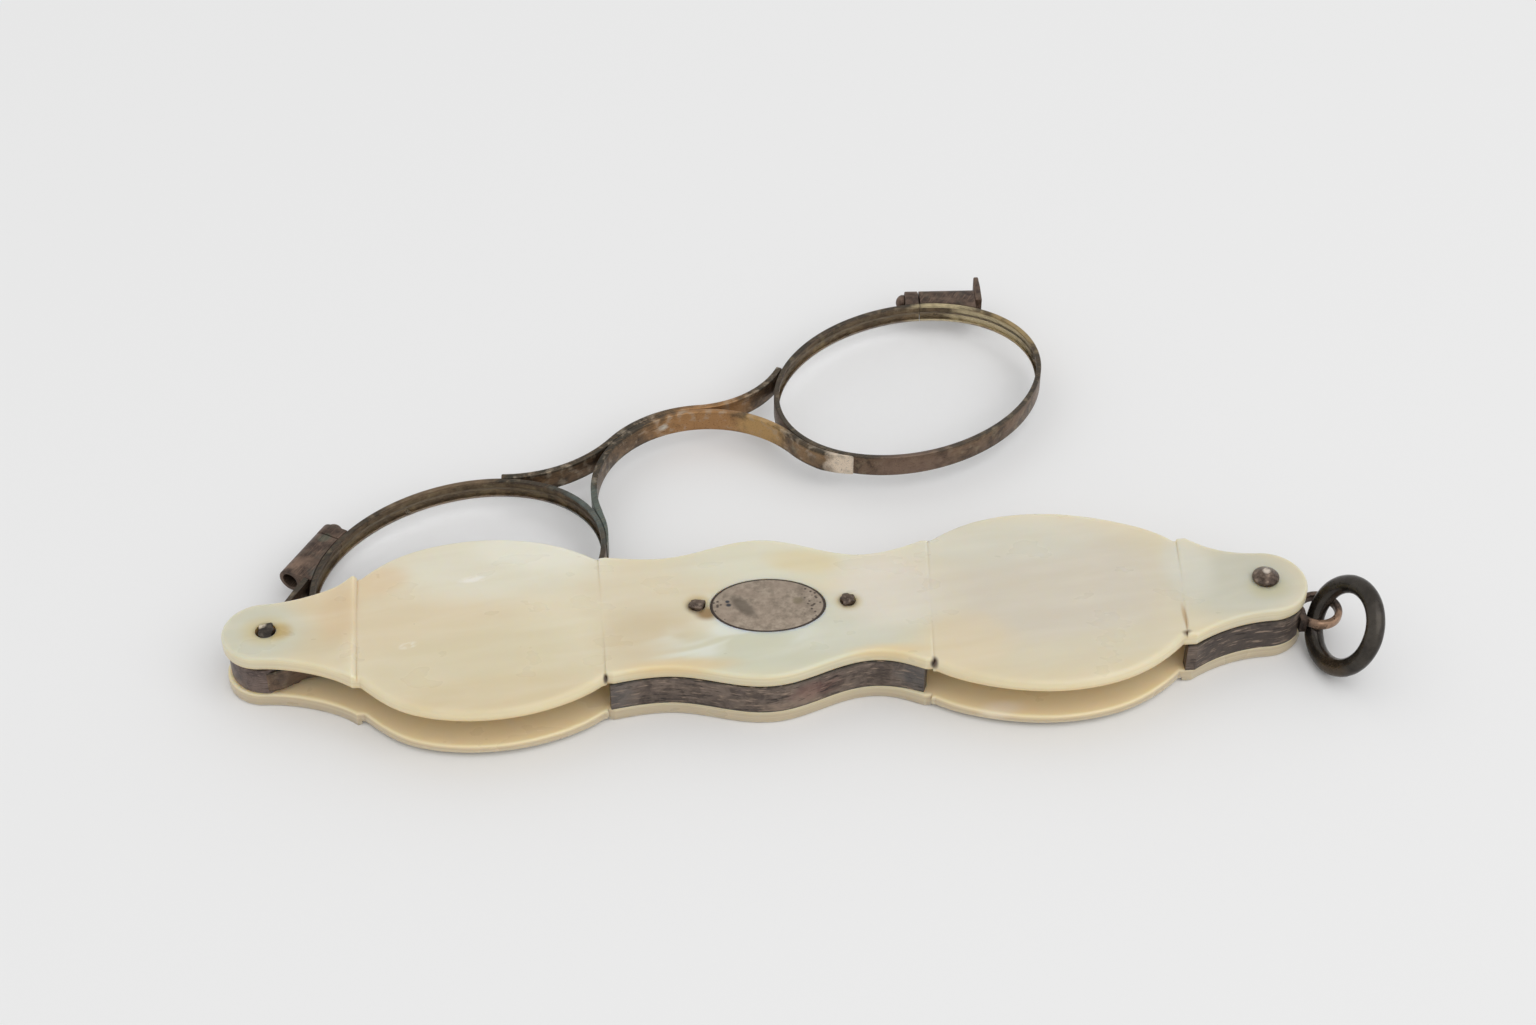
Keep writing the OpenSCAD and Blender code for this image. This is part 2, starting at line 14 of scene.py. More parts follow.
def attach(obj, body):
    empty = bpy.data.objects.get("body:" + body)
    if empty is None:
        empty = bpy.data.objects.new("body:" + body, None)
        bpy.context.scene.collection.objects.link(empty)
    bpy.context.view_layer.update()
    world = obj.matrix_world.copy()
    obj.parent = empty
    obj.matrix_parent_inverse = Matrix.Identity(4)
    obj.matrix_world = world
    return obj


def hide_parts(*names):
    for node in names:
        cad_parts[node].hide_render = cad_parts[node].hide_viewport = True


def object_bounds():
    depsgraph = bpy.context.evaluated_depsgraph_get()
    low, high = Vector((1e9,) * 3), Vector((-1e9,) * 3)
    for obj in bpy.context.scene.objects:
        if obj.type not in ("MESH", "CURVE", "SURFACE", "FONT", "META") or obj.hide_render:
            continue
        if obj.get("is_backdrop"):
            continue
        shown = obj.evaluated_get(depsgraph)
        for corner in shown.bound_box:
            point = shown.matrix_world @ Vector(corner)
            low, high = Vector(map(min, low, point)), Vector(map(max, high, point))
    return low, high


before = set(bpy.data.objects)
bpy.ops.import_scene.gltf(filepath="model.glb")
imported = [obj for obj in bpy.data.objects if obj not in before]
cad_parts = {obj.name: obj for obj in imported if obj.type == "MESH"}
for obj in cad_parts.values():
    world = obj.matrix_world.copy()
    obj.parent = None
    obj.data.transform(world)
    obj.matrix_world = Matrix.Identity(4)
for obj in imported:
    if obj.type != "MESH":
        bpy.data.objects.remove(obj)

cad_low, cad_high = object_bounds()
mm = 0.001

# %% [markdown]
# The photograph looks down on the table from the front at about 42 degrees, through a long lens that
# hardly bends parallel lines. The handle lies turned by 4 degrees to the picture, so the camera stands a
# little to its left. A camera that points along a direction is easiest to place with two points: where it
# stands and what it aims at.
# %% The camera
camera_stand = Vector((-14.58, -211.8, 216.2)) * mm
camera_aim = Vector((2.12, 23.58, 0.0)) * mm
camera_data = bpy.data.cameras.new("camera")
camera_data.sensor_width = 36.0
camera_data.lens = 62.25
camera_data.clip_start = 0.01
camera = bpy.data.objects.new("camera", camera_data)
camera.location = camera_stand
camera.rotation_euler = (camera_aim - camera_stand).to_track_quat("-Z", "Y").to_euler()
bpy.context.scene.collection.objects.link(camera)
bpy.context.scene.camera = camera
print("camera distance", round((camera_aim - camera_stand).length, 3), "m")

# %% [markdown]
# The measures that several pieces share are named once. The lens frame is turned out of the handle about
# the pivot, so places on it are easier to write along its own axis. The helper below turns such a place
# into the handle's.
# %% Shared measures
pivot = Vector((-55.45, 0.0, 3.75)) * mm
tail_pin = Vector((56.95, 0.4, 7.5)) * mm
rivets = [Vector((-7.45, 0.6, 7.5)) * mm, Vector((9.45, 0.24, 7.5)) * mm]
plate_middle = Vector((0.45, 0.1, 7.5)) * mm
plate_half_length = 6.5 * mm
plate_half_width = 4.23 * mm
plate_turn = math.radians(-2.2)
frame_turn = math.radians(28.5)
eye_half_length = 17.8
eye_half_width = 13.9
near_eye = 24.0
far_eye = 86.9
scale_thickness = 1.8 * mm
handle_thickness = 7.5 * mm
to_frame = Matrix.Translation(pivot) @ Matrix.Rotation(frame_turn, 4, "Z")


def at_frame(along, out, up=0.0):
    """A place on the lens frame, in mm along its axis and out to its back, in the object's frame."""
    return (to_frame @ (Vector((along, out, up)) * mm)) / mm


print("near lens centre", [round(v, 2) for v in at_frame(near_eye, 0.0)])


# %% [markdown]
# A colour picked on a screen is an sRGB value, while the shader wants light values, so every tone
# is turned once here.
# %% Tones
def tone(red, green, blue):
    """An sRGB colour from 0 to 255 as the linear colour that a shader takes."""
    def linear(value):
        value /= 255.0
        return value / 12.92 if value <= 0.04045 else ((value + 0.055) / 1.055) ** 2.4
    return (linear(red), linear(green), linear(blue), 1.0)


print("cream pearl", [round(v, 3) for v in tone(224, 215, 190)])


# %% [markdown]
# Every finish is a Principled shader fed by patterns on Object coordinates. Because each piece keeps its
# place in its mesh, those coordinates are metres on the real object, so a stain can be put exactly where
# it is. A small class keeps the nodes of one finish together, and its methods are the patterns that the
# finishes below share.
# %% Patterns for the finishes
class Finish:
    """One material, and the patterns that feed it. Sizes and places are in mm."""

    def __init__(self, name, roughness, metallic=0.0):
        self.material = bpy.data.materials.new(name)
        self.material.use_nodes = True
        self.tree = self.material.node_tree
        self.shader = self.tree.nodes["Principled BSDF"]
        self.place = self.tree.nodes.new("ShaderNodeTexCoord").outputs["Object"]
        self.set("Roughness", roughness)
        self.set("Metallic", metallic)

    def set(self, name, value):
        """Gives an input of the shader a value, or the pattern that drives it."""
        self.feed(self.shader.inputs[name], value)

    def feed(self, socket, value):
        if isinstance(value, bpy.types.NodeSocket):
            self.tree.links.new(value, socket)
        else:
            socket.default_value = value

    def mapped(self, size, centre=(0, 0, 0), turn=0.0):
        """Object coordinates, moved to centre, turned about Z and counted in steps of size."""
        node = self.tree.nodes.new("ShaderNodeMapping")
        node.vector_type = "TEXTURE"
        self.feed(node.inputs["Vector"], self.place)
        node.inputs["Location"].default_value = Vector(centre) * mm
        node.inputs["Rotation"].default_value = (0, 0, turn)
        node.inputs["Scale"].default_value = Vector(size) * mm
        return node.outputs["Vector"]

    def noise(self, size, detail=3.0, turn=0.0, rough=0.5, warp=0.0):
        """Soft blotches of about that size, from 0 to 1."""
        node = self.tree.nodes.new("ShaderNodeTexNoise")
        self.feed(node.inputs["Vector"], self.mapped(size, turn=turn))
        node.inputs["Scale"].default_value = 1.0
        node.inputs["Detail"].default_value = detail
        node.inputs["Roughness"].default_value = rough
        node.inputs["Distortion"].default_value = warp
        return node.outputs["Fac"]

    def pits(self, size, radius):
        """Small scattered dots: 1 inside a dot, 0 outside."""
        node = self.tree.nodes.new("ShaderNodeTexVoronoi")
        self.feed(node.inputs["Vector"], self.mapped(size))
        node.inputs["Scale"].default_value = 1.0
        return self.graded(node.outputs["Distance"], radius, radius * 0.5)

    def spot(self, centre, size, turn=0.0):
        """1 at centre, falling to 0 at size away from it."""
        node = self.tree.nodes.new("ShaderNodeTexGradient")
        node.gradient_type = "SPHERICAL"
        self.feed(node.inputs["Vector"], self.mapped(size, centre, turn))
        return node.outputs["Fac"]

    def graded(self, value, low, high, to_low=0.0, to_high=1.0):
        """The stretch of a pattern between low and high, spread smoothly over to_low to to_high."""
        node = self.tree.nodes.new("ShaderNodeMapRange")
        node.interpolation_type = "SMOOTHSTEP"
        self.feed(node.inputs["Value"], value)
        node.inputs["From Min"].default_value = low
        node.inputs["From Max"].default_value = high
        node.inputs["To Min"].default_value = to_low
        node.inputs["To Max"].default_value = to_high
        return node.outputs["Result"]

    def maths(self, operation, first, second):
        node = self.tree.nodes.new("ShaderNodeMath")
        node.operation = operation
        self.feed(node.inputs[0], first)
        self.feed(node.inputs[1], second)
        return node.outputs["Value"]

    def axis(self, name):
        """One Object coordinate, in metres."""
        node = self.tree.nodes.new("ShaderNodeSeparateXYZ")
        self.feed(node.inputs["Vector"], self.place)
        return node.outputs[name]

    def facing(self, name):
        """How far a face looks along an axis, from -1 to 1."""
        node = self.tree.nodes.new("ShaderNodeSeparateXYZ")
        geometry = self.tree.nodes.new("ShaderNodeNewGeometry")
        self.feed(node.inputs["Vector"], geometry.outputs["Normal"])
        return node.outputs[name]

    def mix(self, factor, first, second):
        """First where factor is 0, second where it is 1."""
        node = self.tree.nodes.new("ShaderNodeMix")
        node.data_type = "RGBA"
        self.feed(node.inputs["Factor"], factor)
        self.feed(node.inputs[6], first)
        self.feed(node.inputs[7], second)
        return node.outputs[2]

    def relief(self, height, depth, strength=1.0):
        """Bump of that depth in mm, laid on top of any bump that is already there."""
        node = self.tree.nodes.new("ShaderNodeBump")
        node.inputs["Strength"].default_value = strength
        node.inputs["Distance"].default_value = depth * mm
        self.feed(node.inputs["Height"], height)
        normal = self.shader.inputs["Normal"]
        if normal.links:
            self.feed(node.inputs["Normal"], normal.links[0].from_socket)
        self.feed(normal, node.outputs["Normal"])


print("a finish has", len([m for m in dir(Finish) if not m.startswith("_")]), "patterns and settings")


# %% [markdown]
# Mother-of-pearl is cream with slow drifts towards pink-tan and cool white, and faint layers that run
# along the shell. It lets light through: the slot between the scales is lit through the top one and glows
# amber, which scattering under the surface gives and which is also painted into the slot's faces and the
# edges beside it. The greenish lustre is a painted sheen, a pale cloud over the middle of the top scale.
# All of that is slow change, so it is made of soft spots at their real places, with fine noise over them.
# %% Pearl
def pearl_drifts(pearl, colour):
    """The slow changes of the shell: centre, size, turn, tone and how much of it."""
    drifts = [
        ((-40, 4, 7), (20, 13, 8), 0.0, (222, 206, 174), 0.7),
        ((-31, -7, 7), (17, 9, 8), 0.1, (216, 205, 172), 0.6),
        ((-30, 9, 7), (18, 8, 8), 0.0, (226, 223, 205), 0.8),
        ((-26, 11, 7), (9, 4, 8), -0.2, (232, 229, 214), 0.7),
        ((-12, 3, 7), (12, 8, 8), 0.0, (218, 206, 178), 0.65),
        ((-13, -4, 7), (8, 6, 8), 0.0, (208, 191, 156), 0.7),
        ((2, -6.5, 7.5), (17, 6.5, 6), 0.06, (207, 207, 185), 0.95),
        ((11, -3, 7.5), (12, 7, 6), 0.3, (212, 211, 194), 0.8),
        ((2, 7.5, 7.5), (17, 5.5, 6), 0.0, (220, 218, 198), 0.8),
        ((5, 6.8, 7.5), (6, 2.6, 3), -0.2, (221, 205, 160), 0.6),
        ((14, 2, 7.5), (8, 8, 6), 0.0, (224, 217, 203), 0.85),
        ((33, 1, 7), (20, 14, 8), 0.0, (211, 203, 186), 0.95),
        ((36, -9, 7), (15, 3.5, 8), 0.15, (217, 210, 186), 0.6),
        ((-31, -11, 7), (15, 3.5, 8), 0.08, (214, 198, 160), 0.6),
        ((-50, -2, 7), (4, 4, 8), 0.0, (210, 196, 162), 0.6),
        ((27, 9, 7), (16, 6, 8), 0.0, (214, 212, 196), 0.7),
        ((22, -7, 7), (7, 6, 8), 0.3, (222, 205, 172), 0.5),
        ((54, 0, 7), (10, 9, 8), 0.0, (201, 199, 182), 0.95),
        ((48.5, 3, 7), (4, 7, 8), 0.0, (216, 214, 200), 0.7),
        ((-57, 0, 7), (8, 8, 8), 0.0, (206, 205, 186), 0.9),
        ((-49, 5, 7), (5, 5, 8), 0.0, (216, 198, 162), 0.55),
        ((-47.5, 2, 7), (3, 6, 8), 0.0, (218, 194, 156), 0.65),
        ((-43, 7, 7), (4.5, 3, 8), 0.5, (222, 198, 160), 0.6),
    ]
    for centre, size, turn, shade, much in drifts:
        mask = pearl.graded(pearl.spot(centre, size, turn), 0.0, 0.6, 0.0, much)
        colour = pearl.mix(mask, colour, tone(*shade))
    return colour


def pearl_stains_and_glow(pearl, colour):
    """Stains round the pins, small dark marks at the front corners of the shoulders and along the far outer
    one, a pale patch on the lower scale, and a painted peach glow along the front edges of the centre
    section.
    """
    stains_and_glow = [
        ((-55.45, 0, 7.5), (3.6, 3.0, 3), (208, 186, 122), 0.6),
        ((-54.0, -0.2, 7.5), (2.2, 1.7, 2), (188, 158, 88), 0.65),
        ((-55.45, 0, 7.5), (1.75, 1.6, 2), (104, 78, 48), 0.8),
        ((-6.4, -0.7, 7.5), (1.9, 1.5, 2), (150, 118, 70), 0.95),
        ((-7.45, 0.9, 7.5), (2.0, 1.9, 2), (198, 170, 110), 0.7),
        ((-7.55, 0.4, 7.5), (1.5, 1.5, 2), (92, 68, 42), 0.85),
        ((9.5, 0.1, 7.5), (2.0, 1.8, 2), (200, 176, 118), 0.85),
        ((9.45, 0.1, 7.5), (1.35, 1.35, 2), (110, 84, 54), 0.75),
        ((56.95, -0.9, 7.5), (3.4, 2.6, 3), (198, 192, 156), 0.7),
        # painted glow: peach along the front edges of the centre section, for light let through the pearl
        ((-9.5, -8.6, 7.2), (9, 1.6, 1.6), (222, 196, 146), 0.6),
        ((13, -7.9, 7.2), (6, 1.5, 1.6), (224, 200, 150), 0.55),
        ((18.1, -9.6, 6.9), (0.6, 0.9, 1.0), (84, 66, 52), 1.0),
        ((-18.0, -9.4, 6.8), (0.4, 0.6, 1.0), (84, 68, 54), 1.0),
        ((46.6, -7.3, 6.9), (0.9, 0.5, 1.0), (100, 76, 52), 1.0),
        ((46.75, -4.9, 7.2), (0.4, 2.8, 0.9), (182, 150, 104), 0.7),
        ((25.6, -12.0, 1.5), (3.4, 1.5, 1.2), (238, 226, 208), 0.85),
    ]
    for centre, size, shade, much in stains_and_glow:
        patch = pearl.graded(pearl.spot(centre, size), 0.0, 0.7, 0.0, much)
        colour = pearl.mix(patch, colour, tone(*shade))
    return colour


def pearl_finish(name, edge_light, edge_dark, edge_share, painted_glow_share):
    """The pearl of one scale: its edge tones and their share, darker on the lower scale as painted shade,
    and its share of painted amber glow at the slot.
    """
    pearl = Finish(name, 0.3)
    colour = pearl.mix(pearl.graded(pearl.noise((22, 12, 12), detail=2.0), 0.35, 0.65),
                       tone(226, 217, 190), tone(218, 207, 176))
    colour = pearl_drifts(pearl, colour)

    layers = pearl.noise((11, 2.2, 4), detail=2.0, turn=0.12, warp=0.3)
    colour = pearl.mix(pearl.graded(layers, 0.4, 0.75, 0.0, 0.14), colour, tone(238, 234, 220))
    colour = pearl.mix(pearl.graded(layers, 0.5, 0.25, 0.0, 0.1), colour, tone(206, 190, 158))
    # painted sheen: a pale greenish cloud of lustre laid into the colour of the top face
    lustre = pearl.noise((7, 2.4, 4), detail=1.0, turn=0.3, warp=0.5)
    sheen_cloud = pearl.spot((-4.0, -4.8, 7.5), (12, 5, 3), 0.12)
    painted_sheen = pearl.maths("MULTIPLY", pearl.graded(lustre, 0.4, 0.68),
                        pearl.graded(sheen_cloud, 0.0, 0.6, 0.0, 0.75))
    colour = pearl.mix(painted_sheen, colour, tone(228, 230, 220))
    flaws = [((-39.6, -3.4, 7.3), (1.3, 0.7, 2), 0.3), ((-32.5, 6.7, 7.3), (2.2, 0.7, 2), 0.1)]
    for centre, size, turn in flaws:
        grain = pearl.graded(pearl.noise((1.2, 0.6, 2), detail=3.0, turn=0.4), 0.3, 0.6)
        patch = pearl.graded(pearl.spot(centre, size, turn), 0.0, 0.6, 0.0, 0.75)
        flaw = pearl.maths("MULTIPLY", grain, patch)
        colour = pearl.mix(flaw, colour, tone(238, 236, 226))

    # the faces inside the slot get a painted amber glow of light let through the pearl, the thin edges
    # their own tones, and fine layers show where the edges cut them
    height = pearl.axis("Z")
    inside = pearl.maths("MULTIPLY", pearl.graded(height, 1.25 * mm, 1.6 * mm),
                         pearl.graded(height, 5.95 * mm, 5.75 * mm))
    colour = pearl.mix(inside, colour, tone(233, 216, 180))
    sides = pearl.graded(pearl.maths("ABSOLUTE", pearl.facing("Z"), 0.0), 0.75, 0.2, 0.0, edge_share)
    strata = pearl.noise((30, 30, 0.22), detail=2.0)
    edge_tone = pearl.mix(pearl.graded(strata, 0.4, 0.62), tone(*edge_light), tone(*edge_dark))
    colour = pearl.mix(sides, colour, edge_tone)
    # painted glow: the edges next to the slot turn orange for light let through the pearl, mostly on the
    # top scale
    from_slot = pearl.maths("ABSOLUTE", pearl.maths("SUBTRACT", height, pivot.z), 0.0)
    seam = pearl.maths("MULTIPLY", pearl.graded(from_slot, 2.6 * mm, 1.95 * mm, 0.0, painted_glow_share), sides)
    colour = pearl.mix(seam, colour, tone(220, 180, 116))
    # painted shade: the lower scale darkens towards its foot on the table
    foot = pearl.graded(height, 1.2 * mm, 0.1 * mm, 0.0, 0.6)
    colour = pearl.mix(foot, colour, tone(190, 172, 148))

    colour = pearl_stains_and_glow(pearl, colour)
    specks = pearl.maths("MULTIPLY", pearl.pits((8, 8, 8), 0.02), 0.7)
    colour = pearl.mix(specks, colour, tone(110, 92, 74))
    pearl.set("Base Color", colour)
    pearl.set("Subsurface Weight", 0.85)
    pearl.shader.inputs["Subsurface Radius"].default_value = (1.0, 0.8, 0.5)
    pearl.shader.inputs["Subsurface Scale"].default_value = 1.6 * mm
    pearl.set("Coat Weight", 0.2)
    pearl.set("Coat Roughness", 0.15)
    pearl.set("Roughness", pearl.graded(pearl.noise((7, 4, 4)), 0.3, 0.7, 0.26, 0.4))
    pearl.relief(pearl.noise((14, 9, 9), detail=2.0), 0.15, 0.5)
    pearl.relief(pearl.maths("MULTIPLY", strata, sides), 0.03, 0.5)
    return pearl.material


# painted shade: the lower scale's edges get darker tones over more of their faces, for the shade under the
# top scale
pearl_top = pearl_finish("pearl_top_scale", (228, 215, 180), (218, 202, 164), 0.5, 1.5)
pearl_bottom = pearl_finish("pearl_bottom_scale", (202, 187, 158), (190, 173, 146), 0.8, 0.1)
print("pearl nodes:", len(pearl_top.node_tree.nodes))


# %% [markdown]
# The metal is silver that has been left to tarnish: a brown-grey skin, darker in the hollows, worn
# through to brass and copper tones where hands and the slot rub it. The skin is half a coating and half
# metal, so the metallic value stays below one. One builder makes all of them. A finish differs in its
# three tones, in how the scratches run, in a darker band along the top and bottom edges, and in spots
# of another tone: mostly worn bright, some darker, and on the pins, the ring and its eye painted
# highlights.
# %% Tarnished silver
def silver_finish(name, dark, middle, bright, roughness=0.42, scratch=(3.0, 0.12, 0.12), turn=0.0,
                  worn=(), metal=0.7, streak=0.45, dark_band_from=None):
    """Tarnish in three tones, and a darker band along the top and bottom edges beyond a height off the
    middle, in mm.
    """
    silver = Finish(name, roughness, metal)
    blotch = silver.graded(silver.noise((1.8, 1.8, 1.8), detail=6.0, rough=0.65, warp=0.5), 0.32, 0.68)
    colour = silver.mix(blotch, tone(*dark), tone(*middle))
    patches = silver.graded(silver.noise((5.5, 3.5, 3.5), detail=4.0, rough=0.6), 0.5, 0.72, 0.0, 0.6)
    colour = silver.mix(patches, colour, tone(*bright))
    # darker along the top and bottom edges, beyond the given height off the middle
    if dark_band_from:
        height = silver.maths("ABSOLUTE", silver.maths("SUBTRACT", silver.axis("Z"), pivot.z), 0.0)
        edges = silver.graded(height, dark_band_from * mm, (dark_band_from + 0.35) * mm, 0.0, 0.75)
        colour = silver.mix(edges, colour, tone(54, 54, 48))
    for centre, size, spot_turn, shade, much in worn:
        ragged = silver.graded(silver.noise((1.1, 1.1, 1.1), detail=4.0), 0.25, 0.75, -0.16, 0.16)
        edge = silver.maths("ADD", silver.spot(centre, size, spot_turn), ragged)
        colour = silver.mix(silver.graded(edge, 0.02, 0.6, 0.0, much), colour, tone(*shade))
    streaks = silver.noise(scratch, detail=3.0, turn=turn, rough=0.6)
    grime = tone(*[c * 0.6 for c in dark])
    colour = silver.mix(silver.graded(streaks, 0.54, 0.72, 0.0, streak), colour, tone(*bright))
    colour = silver.mix(silver.graded(streaks, 0.46, 0.28, 0.0, streak + 0.15), colour, grime)
    silver.set("Base Color", colour)
    silver.set("Roughness", silver.graded(streaks, 0.3, 0.7, roughness - 0.1, roughness + 0.12))
    silver.relief(streaks, 0.02, 0.6)
    silver.relief(silver.noise((0.6, 0.6, 0.6), detail=5.0, rough=0.6), 0.04, 0.6)
    return silver.material


wire_silver = silver_finish(
    "eye_wire_silver", (72, 60, 50), (124, 102, 84), (152, 126, 98), turn=frame_turn, dark_band_from=1.1,
    worn=[(at_frame(99, 9), (7, 6, 3), frame_turn, (206, 190, 150), 0.9),
          (at_frame(104.5, 2), (4, 9, 3), frame_turn, (182, 158, 112), 0.8),
          (at_frame(30, 13), (14, 4, 4), frame_turn, (140, 118, 92), 0.6),
          (at_frame(40.5, 0), (4, 9, 3), frame_turn, (98, 108, 104), 0.9),
          (at_frame(2, -4), (4, 3, 3), frame_turn, (112, 98, 90), 0.7),
          (at_frame(77, -13), (9, 4, 4), frame_turn, (128, 106, 92), 0.7)])
groove_silver = silver_finish(
    "groove_silver", (70, 58, 42), (122, 102, 76), (150, 132, 96), turn=frame_turn, metal=0.5,
    worn=[(at_frame(103, 4), (7, 9, 3), frame_turn, (208, 192, 154), 0.9)])
bridge_silver = silver_finish(
    "bridge_silver", (66, 56, 46), (120, 97, 74), (160, 128, 92), turn=frame_turn, dark_band_from=0.95, streak=0.55,
    worn=[(at_frame(61, 7.5), (10, 5, 4), frame_turn, (182, 136, 88), 0.75),
          (at_frame(57.4, 10), (1.3, 0.5, 0.8), frame_turn, (216, 216, 208), 0.9),
          (at_frame(67.5, 3), (5, 3.5, 3), -0.4, (198, 160, 104), 0.8),
          (at_frame(70.3, -2), (2.2, 1.6, 2), frame_turn, (188, 184, 152), 0.7),
          (at_frame(70.8, -4.7), (2, 2, 2), frame_turn, (118, 110, 98), 0.6),
          (at_frame(72.4, -7.5), (3.2, 2.6, 3), frame_turn, (228, 212, 192), 1.0),
          (at_frame(73.5, -8.8), (0.9, 0.9, 2), frame_turn, (108, 80, 84), 0.8),
          (at_frame(42, -1), (4, 10, 4), frame_turn, (98, 108, 102), 0.95)])
block_silver = silver_finish(
    "block_silver", (60, 48, 42), (112, 93, 80), (158, 132, 114), roughness=0.5, turn=frame_turn + 0.53,
    streak=0.6,
    worn=[(at_frame(10, 7.6, 1), (1.8, 1.8, 2), frame_turn, (96, 106, 100), 0.5),
          (at_frame(13, 12.6, 1), (1.2, 1.0, 1.4), frame_turn, (104, 116, 98), 0.4)])
spacer_silver = silver_finish(
    "spacer_silver", (80, 70, 64), (122, 108, 98), (168, 148, 130), roughness=0.5, scratch=(2.0, 2.0, 0.3),
    metal=0.6, streak=0.8, dark_band_from=1.62,
    worn=[((-17, -8, 3.75), (3.5, 3, 4), 0.0, (112, 116, 118), 0.3),
          ((6, -11, 3.75), (5, 4, 2), 0.0, (148, 104, 94), 0.35),
          ((17, -8, 3.75), (4, 3, 4), 0.0, (98, 104, 108), 0.35),
          ((54, -6, 3.75), (9, 6, 4), 0.0, (76, 68, 64), 0.85)])
knuckle_silver = silver_finish(
    "knuckle_silver", (78, 68, 64), (122, 106, 98), (150, 128, 120), scratch=(1.6, 0.25, 0.1), streak=0.7)
ring_silver = silver_finish(
    "ring_silver", (52, 48, 43), (66, 61, 55), (78, 73, 67), roughness=0.24, scratch=(1.6, 1.6, 1.6),
    streak=0.3,
    # painted highlight: the bluish band on the ring's right side
    worn=[((69.5, -7, 6), (1.4, 5, 5), 0.0, (88, 88, 108), 0.7),
          ((63, -9, 2), (3, 3, 3), 0.0, (92, 76, 56), 0.5)])
eye_silver = silver_finish(
    "ring_eye_copper", (52, 44, 40), (84, 70, 62), (120, 98, 84), roughness=0.34, scratch=(0.6, 0.6, 0.6),
    # painted highlight: the light copper on the front arm of the eye
    worn=[((64.2, -3.4, 3.75), (3.2, 1.9, 2.5), 0.0, (182, 148, 122), 0.9)])
pin_silver = silver_finish(
    "pin_silver", (66, 54, 46), (112, 97, 85), (158, 140, 124), roughness=0.34, scratch=(0.5, 0.5, 0.5),
    streak=0.7,
    # painted highlight: the pale spot on top of the tail pin's head
    worn=[(tail_pin / mm + Vector((0.0, 0.0, 1.3)), (0.62, 0.62, 0.3), 0.0, (212, 200, 186), 1.0)])
worn_silver = silver_finish(
    "worn_pin_silver", (40, 36, 32), (66, 60, 54), (110, 98, 86), roughness=0.5, scratch=(0.4, 0.4, 0.4),
    # painted highlight: the pale crescent on the pivot pin's head
    worn=[((-56.0, 0.75, 7.6), (0.8, 0.55, 0.5), 0.4, (212, 200, 178), 1.0)])
print("silver finishes:", len([m for m in bpy.data.materials if "silver" in m.name or "copper" in m.name]))


# %% [markdown]
# The blank plate is let in flush with the pearl. It is paler than the other metal, taupe, with tiny pits
# at its ends, one darker scratch and a thin dark line of dirt in the seam round it.
# %% The plate's finish
def plate_finish():
    plate = Finish("plate_silver", 0.5, 0.55)
    grain = plate.graded(plate.noise((0.8, 0.8, 0.8), detail=6.0, rough=0.7), 0.3, 0.7)
    colour = plate.mix(grain, tone(132, 119, 104), tone(176, 161, 144))
    clouds = plate.graded(plate.noise((3, 2, 2), detail=3.0), 0.4, 0.7, 0.0, 0.6)
    colour = plate.mix(clouds, colour, tone(160, 143, 127))
    middle = plate_middle / mm
    marks = [
        ((-4.5, 0.85), (0.34, 0.3), 0.0, (60, 62, 70), 1.0),
        ((-4.4, 0.3), (0.4, 0.34), 0.0, (64, 64, 68), 1.0),
        ((-2.8, 0.0), (2.9, 1.1), -0.94, (100, 90, 78), 0.75),
        ((3.4, 0.5), (0.8, 0.8), 0.0, (132, 120, 98), 0.8),
    ]
    for offset, size, turn, shade, much in marks:
        centre = (middle.x + offset[0], middle.y + offset[1], middle.z)
        mask = plate.graded(plate.spot(centre, (size[0], size[1], 1.0), turn), 0.0, 0.6, 0.0, much)
        colour = plate.mix(mask, colour, tone(*shade))
    rim = plate.spot(middle, (plate_half_length / mm, plate_half_width / mm, 5.0), plate_turn)
    ends = plate.graded(plate.maths("ABSOLUTE", plate.axis("X"), 0.0), 4.0 * mm, 5.0 * mm)
    pits = plate.maths("MULTIPLY", plate.pits((0.5, 0.5, 0.5), 0.38), ends)
    colour = plate.mix(plate.maths("MULTIPLY", pits, 0.8), colour, tone(66, 56, 48))
    colour = plate.mix(plate.graded(rim, 0.06, 0.035), colour, tone(46, 32, 20))
    plate.set("Base Color", colour)
    plate.set("Metallic", plate.graded(rim, 0.02, 0.06, 0.0, 0.55))
    plate.relief(grain, 0.03, 0.5)
    plate.relief(pits, -0.06, 1.0)
    return plate.material


plate_silver = plate_finish()
print("plate nodes:", len(plate_silver.node_tree.nodes))

# %% [markdown]
# The lenses are clear glass, a Principled shader with full transmission. Their ground edges sit in the
# tarnished groove and are painted the brown of the groove seen through them, so they are a brown ring and
# not a bright one. The shadow of the glass is switched off, because thin polished lenses let nearly all
# light through and a path tracer would otherwise darken the table.
# %% Glass
glass = Finish("lens_glass", 0.0)
glass.set("Base Color", (1.0, 1.0, 1.0, 1.0))
glass.set("Transmission Weight", 1.0)
glass.set("IOR", 1.5)
glass.set("Specular IOR Level", 0.12)
ground_edge = Finish("lens_ground_edge", 0.6)
# painted: the ground edge takes the brown of the groove seen through it, in place of the light it would
# carry
edge_noise = ground_edge.noise((0.8, 0.8, 0.3), detail=4.0)
painted_groove_tone = ground_edge.mix(ground_edge.graded(edge_noise, 0.3, 0.7), tone(92, 78, 60), tone(128, 110, 84))
ground_edge.set("Base Color", painted_groove_tone)
ground_edge.relief(edge_noise, 0.05)
print("glass is ready")


